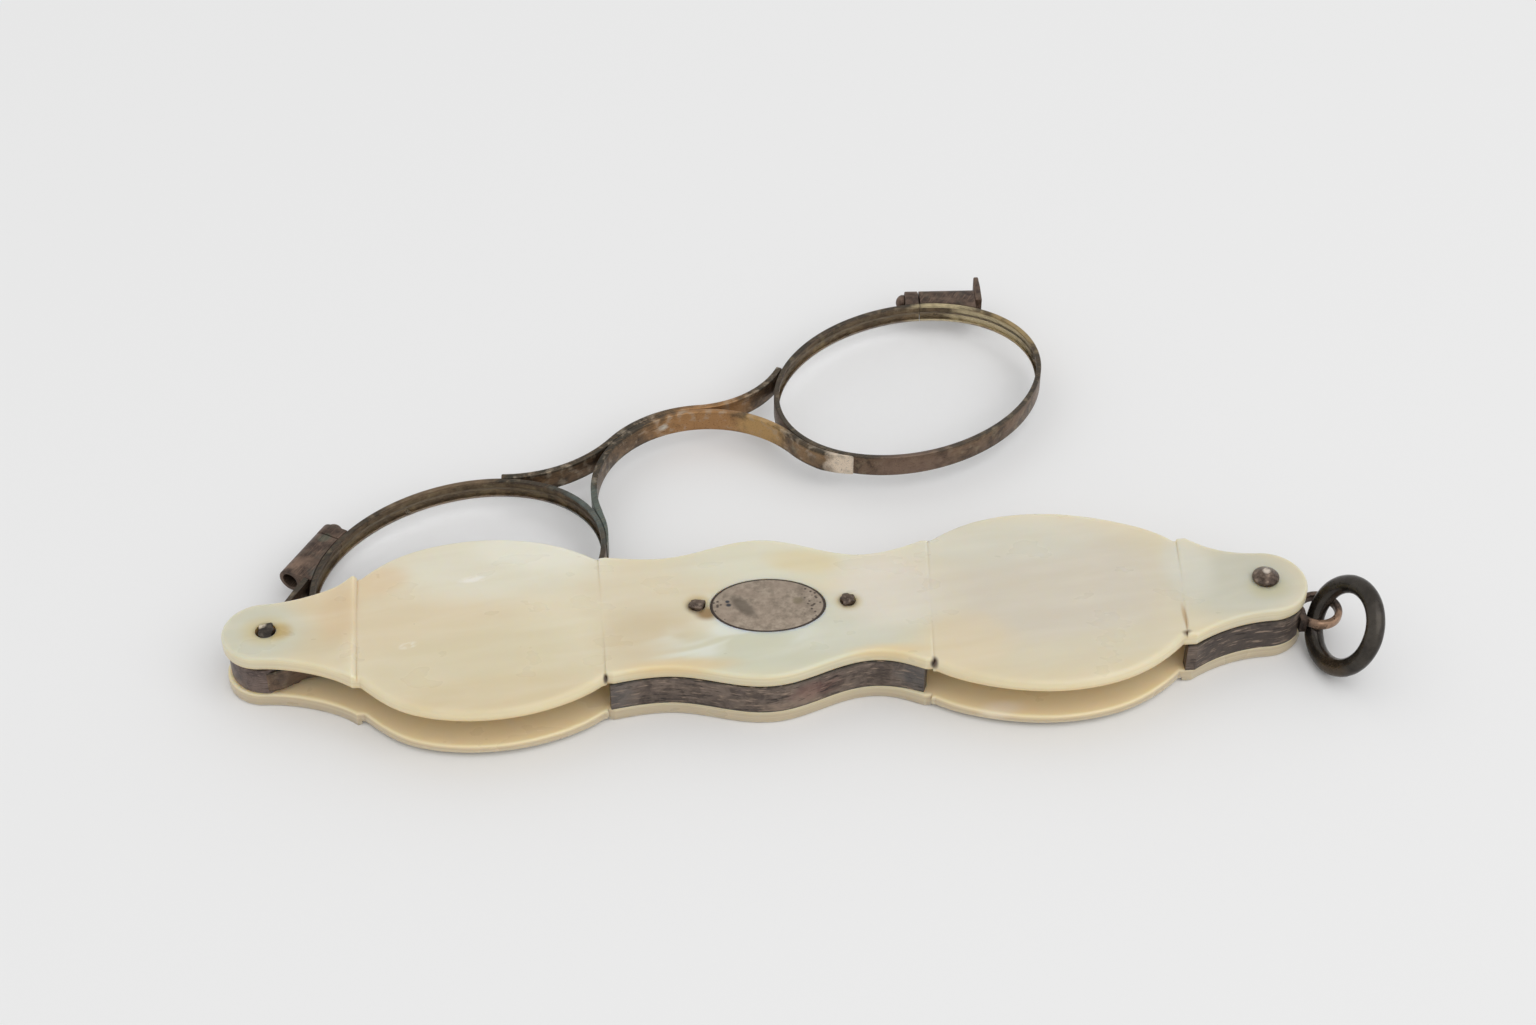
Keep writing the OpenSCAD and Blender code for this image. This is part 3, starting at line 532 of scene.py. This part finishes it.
# %% [markdown] A few helpers serve all pieces. Settling a piece gives it its finish and its body, and hides
# the CAD node it stands for. %% Helpers for the pieces
def alone(*pieces):
    """Selects these objects and nothing else. The first one is the active one."""
    if bpy.context.object and bpy.context.object.mode != "OBJECT":
        bpy.ops.object.mode_set(mode="OBJECT")
    bpy.ops.object.select_all(action="DESELECT")
    for piece in pieces:
        piece.select_set(True)
    bpy.context.view_layer.objects.active = pieces[0]


def settle(piece, node, body, slot, *finishes):
    """Gives a piece its finishes and its body, and hides the CAD node that it stands for."""
    piece.data.materials.clear()
    for finish in finishes:
        piece.data.materials.append(finish)
    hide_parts(node)
    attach(piece, body)
    print(piece.name, len(piece.data.vertices), "points")


def cut(piece, *cutters):
    """Takes the cutters out of a piece and removes them."""
    alone(*cutters)
    if len(cutters) > 1:
        bpy.ops.object.join()
    cutter = bpy.context.view_layer.objects.active
    alone(piece)
    boolean = piece.modifiers.new("cut", "BOOLEAN")
    boolean.object = cutter
    boolean.solver = "EXACT"
    bpy.context.view_layer.update()
    bpy.ops.object.modifier_apply(modifier=boolean.name)
    bpy.data.objects.remove(cutter)


def smooth(piece, angle):
    """Smooth shading, with edges sharper than the angle in degrees left crisp."""
    alone(piece)
    bpy.ops.object.shade_smooth_by_angle(angle=math.radians(angle))


print("helpers are ready")

# %% [markdown]
# A scale is sawn from shell, then filed: round along its edges, a little domed over the two ovals, with a
# notch and a fine cut line where the sections meet and a raised lip before the pivot end's oval. The
# outline is measured from the CAD node, as half widths of its back edge between the shoulders, where the
# outline has two widths at one place.
# %% The outline of a scale
pins = [pivot, tail_pin] + rivets
outline = set()
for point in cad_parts["bottom_scale"].data.vertices:
    place = point.co
    clear_of_pins = all((place.xy - pin.xy).length > 2.0 * mm for pin in pins)
    if abs(place.z - scale_thickness) < 0.001 * mm and place.y > -0.001 * mm and clear_of_pins:
        outline.add((round(place.x / mm, 3), round(place.y / mm, 3)))
outline = sorted(outline)
shoulders = [a[0] for a, b in zip(outline, outline[1:]) if b[0] - a[0] < 0.0015 and a[1] > 5.0]
handle_ends = [outline[0][0], outline[-1][0]]
print("shoulders at", shoulders, "ends at", handle_ends)


# %% [markdown]
# The section between two shoulders becomes a list of columns, close together near a shoulder and further
# apart elsewhere. Each shoulder has two columns in one place, with the width on either side of it, and
# that makes the notch.
# %% Columns along the scale
def section_edge(low, high):
    """The back edge between two places, with the width at each end that belongs to this section."""
    inner = [p for p in outline if low + 0.002 < p[0] < high - 0.002]
    first = min((p for p in outline if abs(p[0] - low) < 0.002), key=lambda p: abs(p[1] - inner[0][1]))
    last = min((p for p in outline if abs(p[0] - high) < 0.002), key=lambda p: abs(p[1] - inner[-1][1]))
    return np.array([first] + inner + [last])


def spread(low, high, known):
    """Column places: the known ones, more beside the ends, and no gap above half a millimetre."""
    beside = [0.0, 0.03, 0.09, 0.16, 0.24, 0.34, 0.47, 0.65, 0.9, 1.2, 1.6, 2.1]
    places = sorted(list(known) + [low + b for b in beside] + [high - b for b in beside])
    kept = [places[0]]
    for place in places[1:]:
        if place - kept[-1] > 0.02:
            steps = math.ceil((place - kept[-1]) / 0.5)
            start = kept[-1]
            kept += [start + (place - start) * k / steps for k in range(1, steps + 1)]
    kept[-1] = high
    return kept


limits = [handle_ends[0]] + shoulders + [handle_ends[1]]
columns = []
for number, (low, high) in enumerate(zip(limits, limits[1:])):
    back = section_edge(low, high)
    for place in spread(low, high, back[:, 0]):
        columns.append((place, float(np.interp(place, back[:, 0], back[:, 1])), number))
print("columns:", len(columns))


shoulder_shifts = [0.92, 0.04, -0.14, 0.57]
shoulder_skews = [0.035, 0.025, -0.076, -0.1]
shift_reach = 5.0


def carved(place, out):
    """Where a place on the even outline really lies: each shoulder was cut a little off and askew."""
    for shoulder, shift, skew in zip(shoulders, shoulder_shifts, shoulder_skews):
        place += (shift - skew * out) * math.exp(-((place - shoulder) / shift_reach) ** 2)
    return place


print("shoulders in the middle", [round(carved(place, 0.0), 2) for place in shoulders])


# %% [markdown]
# The face of a scale is a height over each point of the plan. A file leaves a round edge, so the height
# falls in a quarter circle as a point nears the outline. The ovals are cut from a wide cylinder, which is
# what makes their shoulders deep at the sides and almost nothing in the middle. Each shoulder also has a
# fine cut line along it.
# %% The height of the face
def from_outline(x, y):
    """The distance of each place from the outline, in mm."""
    back = np.array([(place, width) for place, width, number in columns])
    path = np.concatenate([back, back[::-1] * (1.0, -1.0), back[:1]])
    nearest = np.full(len(x), 1e9)
    for (ax, ay), (bx, by) in zip(path, path[1:]):
        dx, dy = bx - ax, by - ay
        along = np.clip(((x - ax) * dx + (y - ay) * dy) / max(dx * dx + dy * dy, 1e-12), 0.0, 1.0)
        nearest = np.minimum(nearest, np.hypot(x - ax - along * dx, y - ay - along * dy))
    return nearest


def rounded(distance, radius):
    """How far a round edge has fallen at a distance from the outline."""
    inside = np.clip(radius - distance, 0.0, radius)
    return radius - np.sqrt(np.maximum(radius ** 2 - inside ** 2, 0.0))


dome_height = 0.5
cut_depths = [0.1, 0.025, 0.03, 0.08]
cut_width = 0.15
lip_height = 0.34
lip_to_shoulder = 0.45


def face_height(x, y, number, distance):
    """The height of the outer face above the inner one, in mm."""
    oval = (number == 1) | (number == 3)
    dome_radius = (eye_half_width ** 2 + dome_height ** 2) / (2 * dome_height)
    dome = np.where(oval, dome_radius - np.sqrt(dome_radius ** 2 - y ** 2), 0.0)
    edge = np.where(oval, 0.65, 0.35)
    sides = np.clip(np.abs(y) / 7.0, 0.0, 1.0)
    cuts = np.zeros(len(x))
    for place, depth in zip(shoulders, cut_depths):
        cuts += depth * (0.15 + 0.85 * sides) * np.exp(-((x - place) / cut_width) ** 2)
    from_crest = x - shoulders[0] + lip_to_shoulder
    slope_width = np.where(from_crest < 0.0, 1.0, 0.3)
    lip = lip_height * (0.5 + 0.5 * sides) * np.exp(-(from_crest / slope_width) ** 2)
    lip += 0.03 * sides * np.exp(-((x - shoulders[3] - 0.6) / 0.4) ** 2)
    return scale_thickness / mm - dome - rounded(distance, edge) - cuts + np.where(oval, 0.0, lip)


print("cut depths", cut_depths, "lip", lip_height, "dome", dome_height, "mm")

# %% [markdown]
# The blank of a scale starts as a grid with one row of points for each depth from the edge. Its points
# are moved to their columns, the sheet is extruded to a slab, and the upper points are lifted to the
# filed face. Both scales are this blank: the lower one is a mirrored copy.
# %% The sheet
edge_steps = [0.0, 0.02, 0.07, 0.15, 0.26, 0.4, 0.58, 0.8, 1.1]
middle_steps = 9
row_count = 2 * (len(edge_steps) + middle_steps) + 1


def across(width):
    """The places of all rows across the handle, from the back edge to the front one."""
    shrink = min(1.0, width / 2.4)
    back = [width - depth * shrink for depth in edge_steps]
    back += [back[-1] * (1 - k / (middle_steps + 1)) for k in range(1, middle_steps + 1)]
    return back + [0.0] + [-place for place in reversed(back)]


bpy.ops.object.select_all(action="DESELECT")
bpy.ops.mesh.primitive_grid_add(x_subdivisions=len(columns) - 1, y_subdivisions=row_count - 1, size=2.0)
blank = bpy.context.object
blank.name = "top_scale_carved"
plan = []
for point in blank.data.vertices:
    place, width, number = columns[round((point.co.x + 1) / 2 * (len(columns) - 1))]
    row = round((1 - point.co.y) / 2 * (row_count - 1))
    plan.append((place, across(width)[row], number))
    point.co = Vector((place, plan[-1][1], 0.0)) * mm
plan = np.array(plan)
distance = from_outline(plan[:, 0], plan[:, 1])
upper = face_height(plan[:, 0], plan[:, 1], plan[:, 2], distance)
lower = rounded(distance, 0.35)
print("sheet points:", len(plan), "height", round(upper.min(), 2), "to", round(upper.max(), 2), "mm")

# %% [markdown]
# Extruding adds the upper points in the order of the lower ones, so both can follow the plan. That order
# is tested, and then each point gets its height and moves to where the carver really cut.
# %% The slab
def off_plan(points):
    """How far points lie from their places on the plan at most, in mm."""
    return max(abs(p.co.x / mm - spot[0]) + abs(p.co.y / mm - spot[1]) for p, spot in zip(points, plan))


alone(blank)
bpy.ops.object.mode_set(mode="EDIT")
bpy.ops.mesh.select_all(action="SELECT")
bpy.ops.mesh.extrude_region_move(TRANSFORM_OT_translate={"value": (0.0, 0.0, scale_thickness)})
bpy.ops.object.mode_set(mode="OBJECT")
raised = [point for point in blank.data.vertices if point.co.z > 0.5 * scale_thickness]
flat = [point for point in blank.data.vertices if point.co.z <= 0.5 * scale_thickness]
drift = off_plan(raised) + off_plan(flat)
for point, height in zip(flat, lower):
    point.co.z = height * mm
for point, height in zip(raised, upper):
    point.co.z = height * mm
for point in blank.data.vertices:
    point.co.x = carved(point.co.x / mm, point.co.y / mm) * mm
bpy.ops.object.mode_set(mode="EDIT")
bpy.ops.mesh.select_all(action="SELECT")
bpy.ops.mesh.remove_doubles(threshold=0.001 * mm)
bpy.ops.mesh.normals_make_consistent(inside=False)
bpy.ops.object.mode_set(mode="OBJECT")
print("raised", len(raised), "flat", len(flat), "order is off by", round(drift, 4), "mm")


# %% [markdown]
# The scales are drilled for the pins, and the upper one is let in for the plate. Each hole is a cutter of
# its own.
# %% The two scales
def drill(place, radius, depth, turn=0.0, stretch=1.0, points=48):
    """A cutter for a round or oval hole that reaches from far above down to depth under the place."""
    bpy.ops.object.select_all(action="DESELECT")
    height = 4.0 * mm
    middle = place + Vector((0.0, 0.0, height / 2 - depth))
    bpy.ops.mesh.primitive_cylinder_add(vertices=points, radius=radius, depth=height, location=middle)
    cutter = bpy.context.object
    cutter.scale.y = stretch
    cutter.rotation_euler.z = turn
    return cutter


def pin_holes(top):
    """The cutters for the four pins, down from a height."""
    holes = [(pivot, 1.17), (tail_pin, 0.92), (rivets[0], 0.9), (rivets[1], 0.9)]
    return [drill(Vector((place.x, place.y, top)), radius * mm, 3.0 * mm) for place, radius in holes]


top_scale = blank
bottom_scale = blank.copy()
bottom_scale.data = blank.data.copy()
bottom_scale.name = "bottom_scale_carved"
bpy.context.scene.collection.objects.link(bottom_scale)
bottom_scale.data.transform(Matrix.Translation((0, 0, scale_thickness)) @ Matrix.Scale(-1.0, 4, (0, 0, 1)))
bottom_scale.data.flip_normals()
for point in bottom_scale.data.vertices:
    point.co.z = max(point.co.z, 0.0)
top_scale.data.transform(Matrix.Translation((0, 0, handle_thickness - scale_thickness)))
seam = 0.03 * mm
plate_cutter = drill(plate_middle, plate_half_length + seam, 0.52 * mm, plate_turn,
                     (plate_half_width + seam) / (plate_half_length + seam), 96)
cut(top_scale, plate_cutter, *pin_holes(handle_thickness))
cut(bottom_scale, *pin_holes(scale_thickness))
scales = [(top_scale, "top_scale", pearl_top), (bottom_scale, "bottom_scale", pearl_bottom)]
for scale, node, finish in scales:
    smooth(scale, 38.0)
    settle(scale, node, "handle", "pearl", finish)


# %% [markdown]
# Many metal pieces have their true shape in the CAD solid, but with knife-sharp edges, which no handled
# thing has. Such a piece starts as a merged copy of its node. Limited dissolve joins the loose triangles
# of each flat face, so that a bevel runs cleanly along the real edges only, and hardened normals keep the
# flats flat beside it.
# %% A softened copy of a node
def merged_copy(node, name, flats=True):
    piece = bpy.data.objects.new(name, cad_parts[node].data.copy())
    bpy.context.scene.collection.objects.link(piece)
    alone(piece)
    bpy.ops.object.mode_set(mode="EDIT")
    bpy.ops.mesh.select_all(action="SELECT")
    bpy.ops.mesh.remove_doubles(threshold=0.002 * mm)
    if flats:
        bpy.ops.mesh.dissolve_limited(angle_limit=math.radians(0.5))
    bpy.ops.object.mode_set(mode="OBJECT")
    return piece


def round_edges(piece, width):
    """A bevel of that width in mm on every edge that is sharp."""
    sharp = 32.0
    alone(piece)
    bevel = piece.modifiers.new("edges", "BEVEL")
    bevel.width = width * mm
    bevel.segments = 3
    bevel.limit_method = "ANGLE"
    bevel.angle_limit = math.radians(sharp)
    bevel.harden_normals = True
    bpy.ops.object.shade_smooth()
    bpy.ops.object.modifier_apply(modifier=bevel.name)


def feathered(piece):
    """Files both laps of the nose arch thin towards their ends, so that they run into the eye wires."""
    back = to_frame.inverted()
    for point in piece.data.vertices:
        place = (back @ point.co) / mm
        for along, side, end, length in [(near_eye, 1, -26.0, 24.0), (far_eye, -1, -38.0, 14.0)]:
            reach = (place.x - along) * side
            out = math.hypot(reach / eye_half_length, place.y / eye_half_width)
            turn = math.degrees(math.atan2(place.y / eye_half_width, reach / eye_half_length))
            if out < 1.12 and turn < end + length:
                left = 0.15 + 0.85 * max(0.0, (turn - end) / length)
                keep = (1.0 + max(out - 1.0, 0.0) * left) / out
                place = Vector((along + (place.x - along) * keep, place.y * keep, place.z))
        point.co = to_frame @ (place * mm)


def let_in(piece):
    """Files the start of a strap flush with the round of the knuckle that it is soldered into."""
    back = to_frame.inverted()
    knuckle = 4.4
    for point in piece.data.vertices:
        place = (back @ point.co) / mm
        out = place.xy.length
        proud = max(out - knuckle, 0.0)
        left = min(max((place.x - 1.0) / 5.0, 0.0), 1.0)
        keep = (min(out, knuckle) + proud * left) / out
        point.co = to_frame @ (Vector((place.x * keep, place.y * keep, place.z)) * mm)


def made_fuller(piece):
    """Makes the ring's eye fuller outside. Its hole keeps its width, so that the ring can swing."""
    hole = Vector((63.1, -1.4)) * mm
    fullness = 0.13 * mm
    for point in piece.data.vertices:
        out = (point.co.xy - hole).length / mm
        ahead = (point.co.x - hole.x) / mm + 1.5
        share = min(max((out - 2.35) / 0.2, 0.0), 1.0) * min(max(ahead, 0.0), 1.0)
        point.co += point.normal * fullness * share


softened = [
    # node, body, slot, finish, width of the bevel in mm
    ("centre_spacer", "handle", "spacer_silver", spacer_silver, 0.12),
    ("end_spacer", "handle", "spacer_silver", spacer_silver, 0.12),
    ("ring_eye", "handle", "copper_silver", eye_silver, 0.1),
    ("name_plate", "handle", "plate_silver", plate_silver, 0.05),
    ("hinge_knuckle", "lens_frame", "spacer_silver", knuckle_silver, 0.2),
    ("front_strap", "lens_frame", "dark_silver", wire_silver, 0.08),
    ("back_strap", "lens_frame", "dark_silver", wire_silver, 0.08),
    ("nose_arch", "lens_frame", "dark_silver", bridge_silver, 0.15),
    ("nose_brace", "lens_frame", "dark_silver", bridge_silver, 0.15),
    ("near_barrel", "lens_frame", "dark_silver", block_silver, 0.14),
    ("far_barrel", "lens_frame", "dark_silver", block_silver, 0.14),
    ("near_cap_lug", "lens_frame", "dark_silver", block_silver, 0.14),
    ("far_cap_lug", "lens_frame", "dark_silver", block_silver, 0.14),
    ("near_screw", "lens_frame", "dark_silver", block_silver, 0.08),
    ("far_screw", "lens_frame", "dark_silver", block_silver, 0.08),
    ("nail_lug", "lens_frame", "dark_silver", block_silver, 0.15),
    ("tail_pin", "handle", "dark_silver", pin_silver, 0.08),
]
for node, body, slot, finish, width in softened:
    piece = merged_copy(node, node + "_worn")
    round_edges(piece, width)
    if node == "nose_arch":
        feathered(piece)
    if node == "ring_eye":
        made_fuller(piece)
    if node.endswith("strap"):
        let_in(piece)
    settle(piece, node, body, slot, finish)

# %% [markdown]
# The hanging ring is a closed ring of drawn wire, thinned a little inside, where it has hung in its eye
# for years, and thicker at the soldered joint opposite. It lies where its CAD node lies, so its middle is
# measured from that.
# %% The hanging ring
corners = [Vector(corner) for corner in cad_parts["hanging_ring"].bound_box]
ring_middle = sum(corners, Vector()) / len(corners)
ring_tilt = (0.0, math.radians(118.5), math.radians(14.84))
ring_radius = 4.76 * mm
ring_wire_radius = 1.05 * mm
bpy.ops.object.select_all(action="DESELECT")
bpy.ops.mesh.primitive_torus_add(
    major_radius=ring_radius, minor_radius=ring_wire_radius, major_segments=120, minor_segments=32,
    location=ring_middle, rotation=ring_tilt)
ring = bpy.context.object
ring.name = "hanging_ring_wire"
bpy.ops.object.transform_apply(location=True, rotation=True)
bearing = Vector((63.05, -1.42, 3.75)) * mm
solder = 2 * ring_middle - bearing
for point in ring.data.vertices:
    worn = math.exp(-((point.co - bearing).length / (1.3 * mm)) ** 2)
    swollen = math.exp(-((point.co - solder).length / (1.2 * mm)) ** 2)
    hammered = noise.noise(point.co / (1.6 * mm)) * 0.02 * mm
    point.co += point.normal * (hammered - 0.07 * mm * worn + 0.05 * mm * swollen)
bpy.ops.object.shade_smooth()
settle(ring, "hanging_ring", "ring", "ring_metal", ring_silver)


# %% [markdown]
# The pins were hammered flat, not turned, so their heads are irregular. A cylinder gets a domed head from
# a few insets, and the points of the head are then pushed in and out by smooth noise, which is the same
# at each run.
# %% Hammered pins
def hammered_pin(name, place, radius, top, dome, wobble, seed):
    """A pin whose head stands dome above top and is uneven by wobble, all in mm."""
    bpy.ops.object.select_all(action="DESELECT")
    foot = 0.05
    middle = (place.x, place.y, (foot + top) / 2 * mm)
    bpy.ops.mesh.primitive_cylinder_add(
        vertices=40, radius=radius * mm, depth=(top - foot) * mm, location=middle)
    pin = bpy.context.object
    pin.name = name
    bpy.ops.object.transform_apply(location=True)
    for face in pin.data.polygons:
        face.select = face.normal.z > 0.9
    bpy.ops.object.mode_set(mode="EDIT")
    for share in (0.45, 0.3, 0.17, 0.08):
        bpy.ops.mesh.inset(thickness=radius * 0.2 * mm)
        bpy.ops.transform.translate(value=(0.0, 0.0, dome * share * mm))
    bpy.ops.object.mode_set(mode="OBJECT")
    for point in pin.data.vertices:
        if point.co.z > (top - 0.01) * mm:
            out = Vector((point.co.x - place.x, point.co.y - place.y, 0.0)) / (radius * mm)
            sideways = noise.noise(out * 1.6 + Vector((seed, 0.0, 0.0)))
            upwards = noise.noise(out * 1.3 + Vector((0.0, seed, 7.0)))
            point.co += (out * sideways * 2.0 + Vector((0.0, 0.0, upwards))) * wobble * mm
    smooth(pin, 50.0)
    return pin


pivot_head = hammered_pin("pivot_pin_head", pivot, 1.13, 7.46, 0.12, 0.3, 3.0)
settle(pivot_head, "pivot_pin", "handle", "pin_metal", worn_silver)
for name, place, seed in [("centre_rivet_near", rivets[0], 5.0), ("centre_rivet_far", rivets[1], 9.0)]:
    head = hammered_pin(name, place, 0.82, 7.52, 0.28, 0.16, seed)
    settle(head, "centre_rivets", "handle", "dark_silver", pin_silver)

# %% [markdown]
# An eye wire is a rolled channel bent to an oval and slit at its closing block. The section of the
# channel is drawn once, spun to a round ring, and each point of the ring is moved out to the oval at its
# own angle, so the wall keeps its thickness. The groove gets the darker finish, because nothing rubs it.
# %% The eye wires
half_height = 1.425
lip = 0.65
wall = 0.35
groove = 1.1
upper_half = [
    # inset from the outer face and height, in mm, from its middle over the top to the groove
    (0.0, 0.0), (0.0, 1.27), (0.03, 1.36), (0.11, half_height),
    (lip - 0.12, half_height), (lip - 0.03, 1.38), (lip, 1.3),
    (lip, groove + 0.04), (lip - 0.04, groove), (wall, groove), (wall, 0.0),
]
channel = upper_half + [(inset, -up) for inset, up in reversed(upper_half[1:-1])]
round_radius = 20.0
turns = 240


def eye_wire(name, along, side):
    """The channel on its oval at a place along the lens frame. Side is -1 or 1, the end with the slit."""
    mesh = bpy.data.meshes.new(name)
    section = [Vector((round_radius - inset, 0.0, up)) for inset, up in channel]
    mesh.from_pydata(section, [(k, (k + 1) % len(channel)) for k in range(len(channel))], [])
    wire = bpy.data.objects.new(name, mesh)
    bpy.context.scene.collection.objects.link(wire)
    alone(wire)
    bpy.ops.object.mode_set(mode="EDIT")
    bpy.ops.mesh.select_all(action="SELECT")
    bpy.ops.mesh.spin(steps=turns, angle=2 * math.pi, center=(0, 0, 0), axis=(0, 0, 1), use_auto_merge=True)
    bpy.ops.mesh.select_all(action="SELECT")
    bpy.ops.mesh.remove_doubles(threshold=0.001)
    bpy.ops.mesh.normals_make_consistent(inside=False)
    bpy.ops.object.mode_set(mode="OBJECT")
    for point in wire.data.vertices:
        inset = round_radius - math.hypot(point.co.x, point.co.y)
        turn = math.atan2(point.co.y, point.co.x)
        point.co.x = (eye_half_length - inset) * math.cos(turn)
        point.co.y = (eye_half_width - inset) * math.sin(turn)

    block_turn = math.radians(52.8)
    slit_offset = 1.075
    slit_width = 0.08
    slope = math.atan2(eye_half_width * math.cos(block_turn), eye_half_length * math.sin(block_turn))
    slit_x = eye_half_length * math.cos(block_turn) - slit_offset * math.cos(slope)
    slit_y = eye_half_width * math.sin(block_turn) + slit_offset * math.sin(slope)
    bpy.ops.object.select_all(action="DESELECT")
    bpy.ops.mesh.primitive_cube_add(size=1.0, location=(side * slit_x, slit_y, 0.0))
    saw = bpy.context.object
    saw.scale = (slit_width, 4.0, 6.0)
    saw.rotation_euler.z = -side * slope
    cut(wire, saw)
    wire.data.transform(to_frame @ Matrix.Translation((along * mm, 0, 0)) @ Matrix.Scale(mm, 4))
    smooth(wire, 30.0)
    return wire


def mark_groove(wire, along):
    """Gives the faces inside the groove the second finish."""
    back = to_frame.inverted()
    for face in wire.data.polygons:
        place = (back @ face.center) / mm - Vector((along, 0.0, 0.0))
        turn = math.atan2(place.y / eye_half_width, place.x / eye_half_length)
        outer = math.hypot(eye_half_length * math.cos(turn), eye_half_width * math.sin(turn))
        if outer - place.xy.length > 0.25 and abs(place.z) < groove + 0.01:
            face.material_index = 1


eye_wires = [("near_eye_wire", "near_rim", near_eye, -1), ("far_eye_wire", "far_rim", far_eye, 1)]
for name, node, along, side in eye_wires:
    wire = eye_wire(name, along, side)
    settle(wire, node, "lens_frame", "dark_silver", wire_silver, groove_silver)
    mark_groove(wire, along)

# %% [markdown]
# The lenses are copies of their CAD solids, thinned about mid height, so that they sit deep in their
# grooves. Their ground edges get a finish of their own, told apart by where the faces look.
# %% The lenses
lens_thinning = 0.55
for node in ["near_lens", "far_lens"]:
    piece = merged_copy(node, node + "_glass", flats=False)
    smooth(piece, 30.0)
    for point in piece.data.vertices:
        point.co.z = pivot.z + (point.co.z - pivot.z) * lens_thinning
    settle(piece, node, "lens_frame", "lens_glass", glass.material, ground_edge.material)
    for face in piece.data.polygons:
        face.material_index = 1 if abs(face.normal.z) < 0.5 else 0
    piece.visible_shadow = False

# %% [markdown]
# The object lies on a plain pale table under soft studio light. A wide lamp above, to the right and in
# front, lights the front edges and the slot and throws a faint shadow to the left. The world fills in the
# rest. Their levels add up to about one, so that a tone renders close to how it is written.
# %% The table and the light
bpy.ops.object.select_all(action="DESELECT")
bpy.ops.mesh.primitive_plane_add(size=4.0, location=(0.0, 0.0, 0.0))
table = bpy.context.object
table.name = "table"
table_finish = Finish("table_paper", 0.9)
table_finish.set("Base Color", tone(240, 240, 240))
table_finish.set("Specular IOR Level", 0.0)
table.data.materials.append(table_finish.material)
table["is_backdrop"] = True


def soft_lamp(name, place, size, watts):
    """A square lamp that looks at the handle."""
    data = bpy.data.lights.new(name, "AREA")
    data.size = size
    data.energy = watts
    lamp = bpy.data.objects.new(name, data)
    lamp.location = place
    lamp.rotation_euler = (Vector((0.0, 0.01, 0.0)) - lamp.location).to_track_quat("-Z", "Y").to_euler()
    bpy.context.scene.collection.objects.link(lamp)


soft_lamp("key_lamp", Vector((0.65, -0.6, 1.25)), 1.6, 7.6)

world = bpy.data.worlds.new("studio")
bpy.context.scene.world = world
world.use_nodes = True
studio = world.node_tree
fill = studio.nodes["Background"]
fill.inputs["Color"].default_value = (1.0, 1.0, 1.0, 1.0)
fill.inputs["Strength"].default_value = 0.75
wall_light = studio.nodes.new("ShaderNodeBackground")
wall_light.inputs["Color"].default_value = tone(236, 236, 236)
rays = studio.nodes.new("ShaderNodeLightPath")
seen = rays.outputs["Is Camera Ray"]
for other in ["Is Transmission Ray", "Is Glossy Ray"]:
    either = studio.nodes.new("ShaderNodeMath")
    either.operation = "MAXIMUM"
    studio.links.new(seen, either.inputs[0])
    studio.links.new(rays.outputs[other], either.inputs[1])
    seen = either.outputs["Value"]
choose = studio.nodes.new("ShaderNodeMixShader")
studio.links.new(seen, choose.inputs["Fac"])
studio.links.new(fill.outputs["Background"], choose.inputs[1])
studio.links.new(wall_light.outputs["Background"], choose.inputs[2])
studio.links.new(choose.outputs["Shader"], studio.nodes["World Output"].inputs["Surface"])
bpy.context.scene.view_settings.view_transform = "Standard"

# %% [markdown]
# The sizes of the CAD model's box and of the visual model's box are printed side by side. The visual
# model has to stay inside the CAD model's box.
# %% The sizes
low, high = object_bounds()
cad_size = [round(v / mm, 2) for v in cad_high - cad_low]
visual_size = [round(v / mm, 2) for v in high - low]
print("CAD box", cad_size, "visual", visual_size)
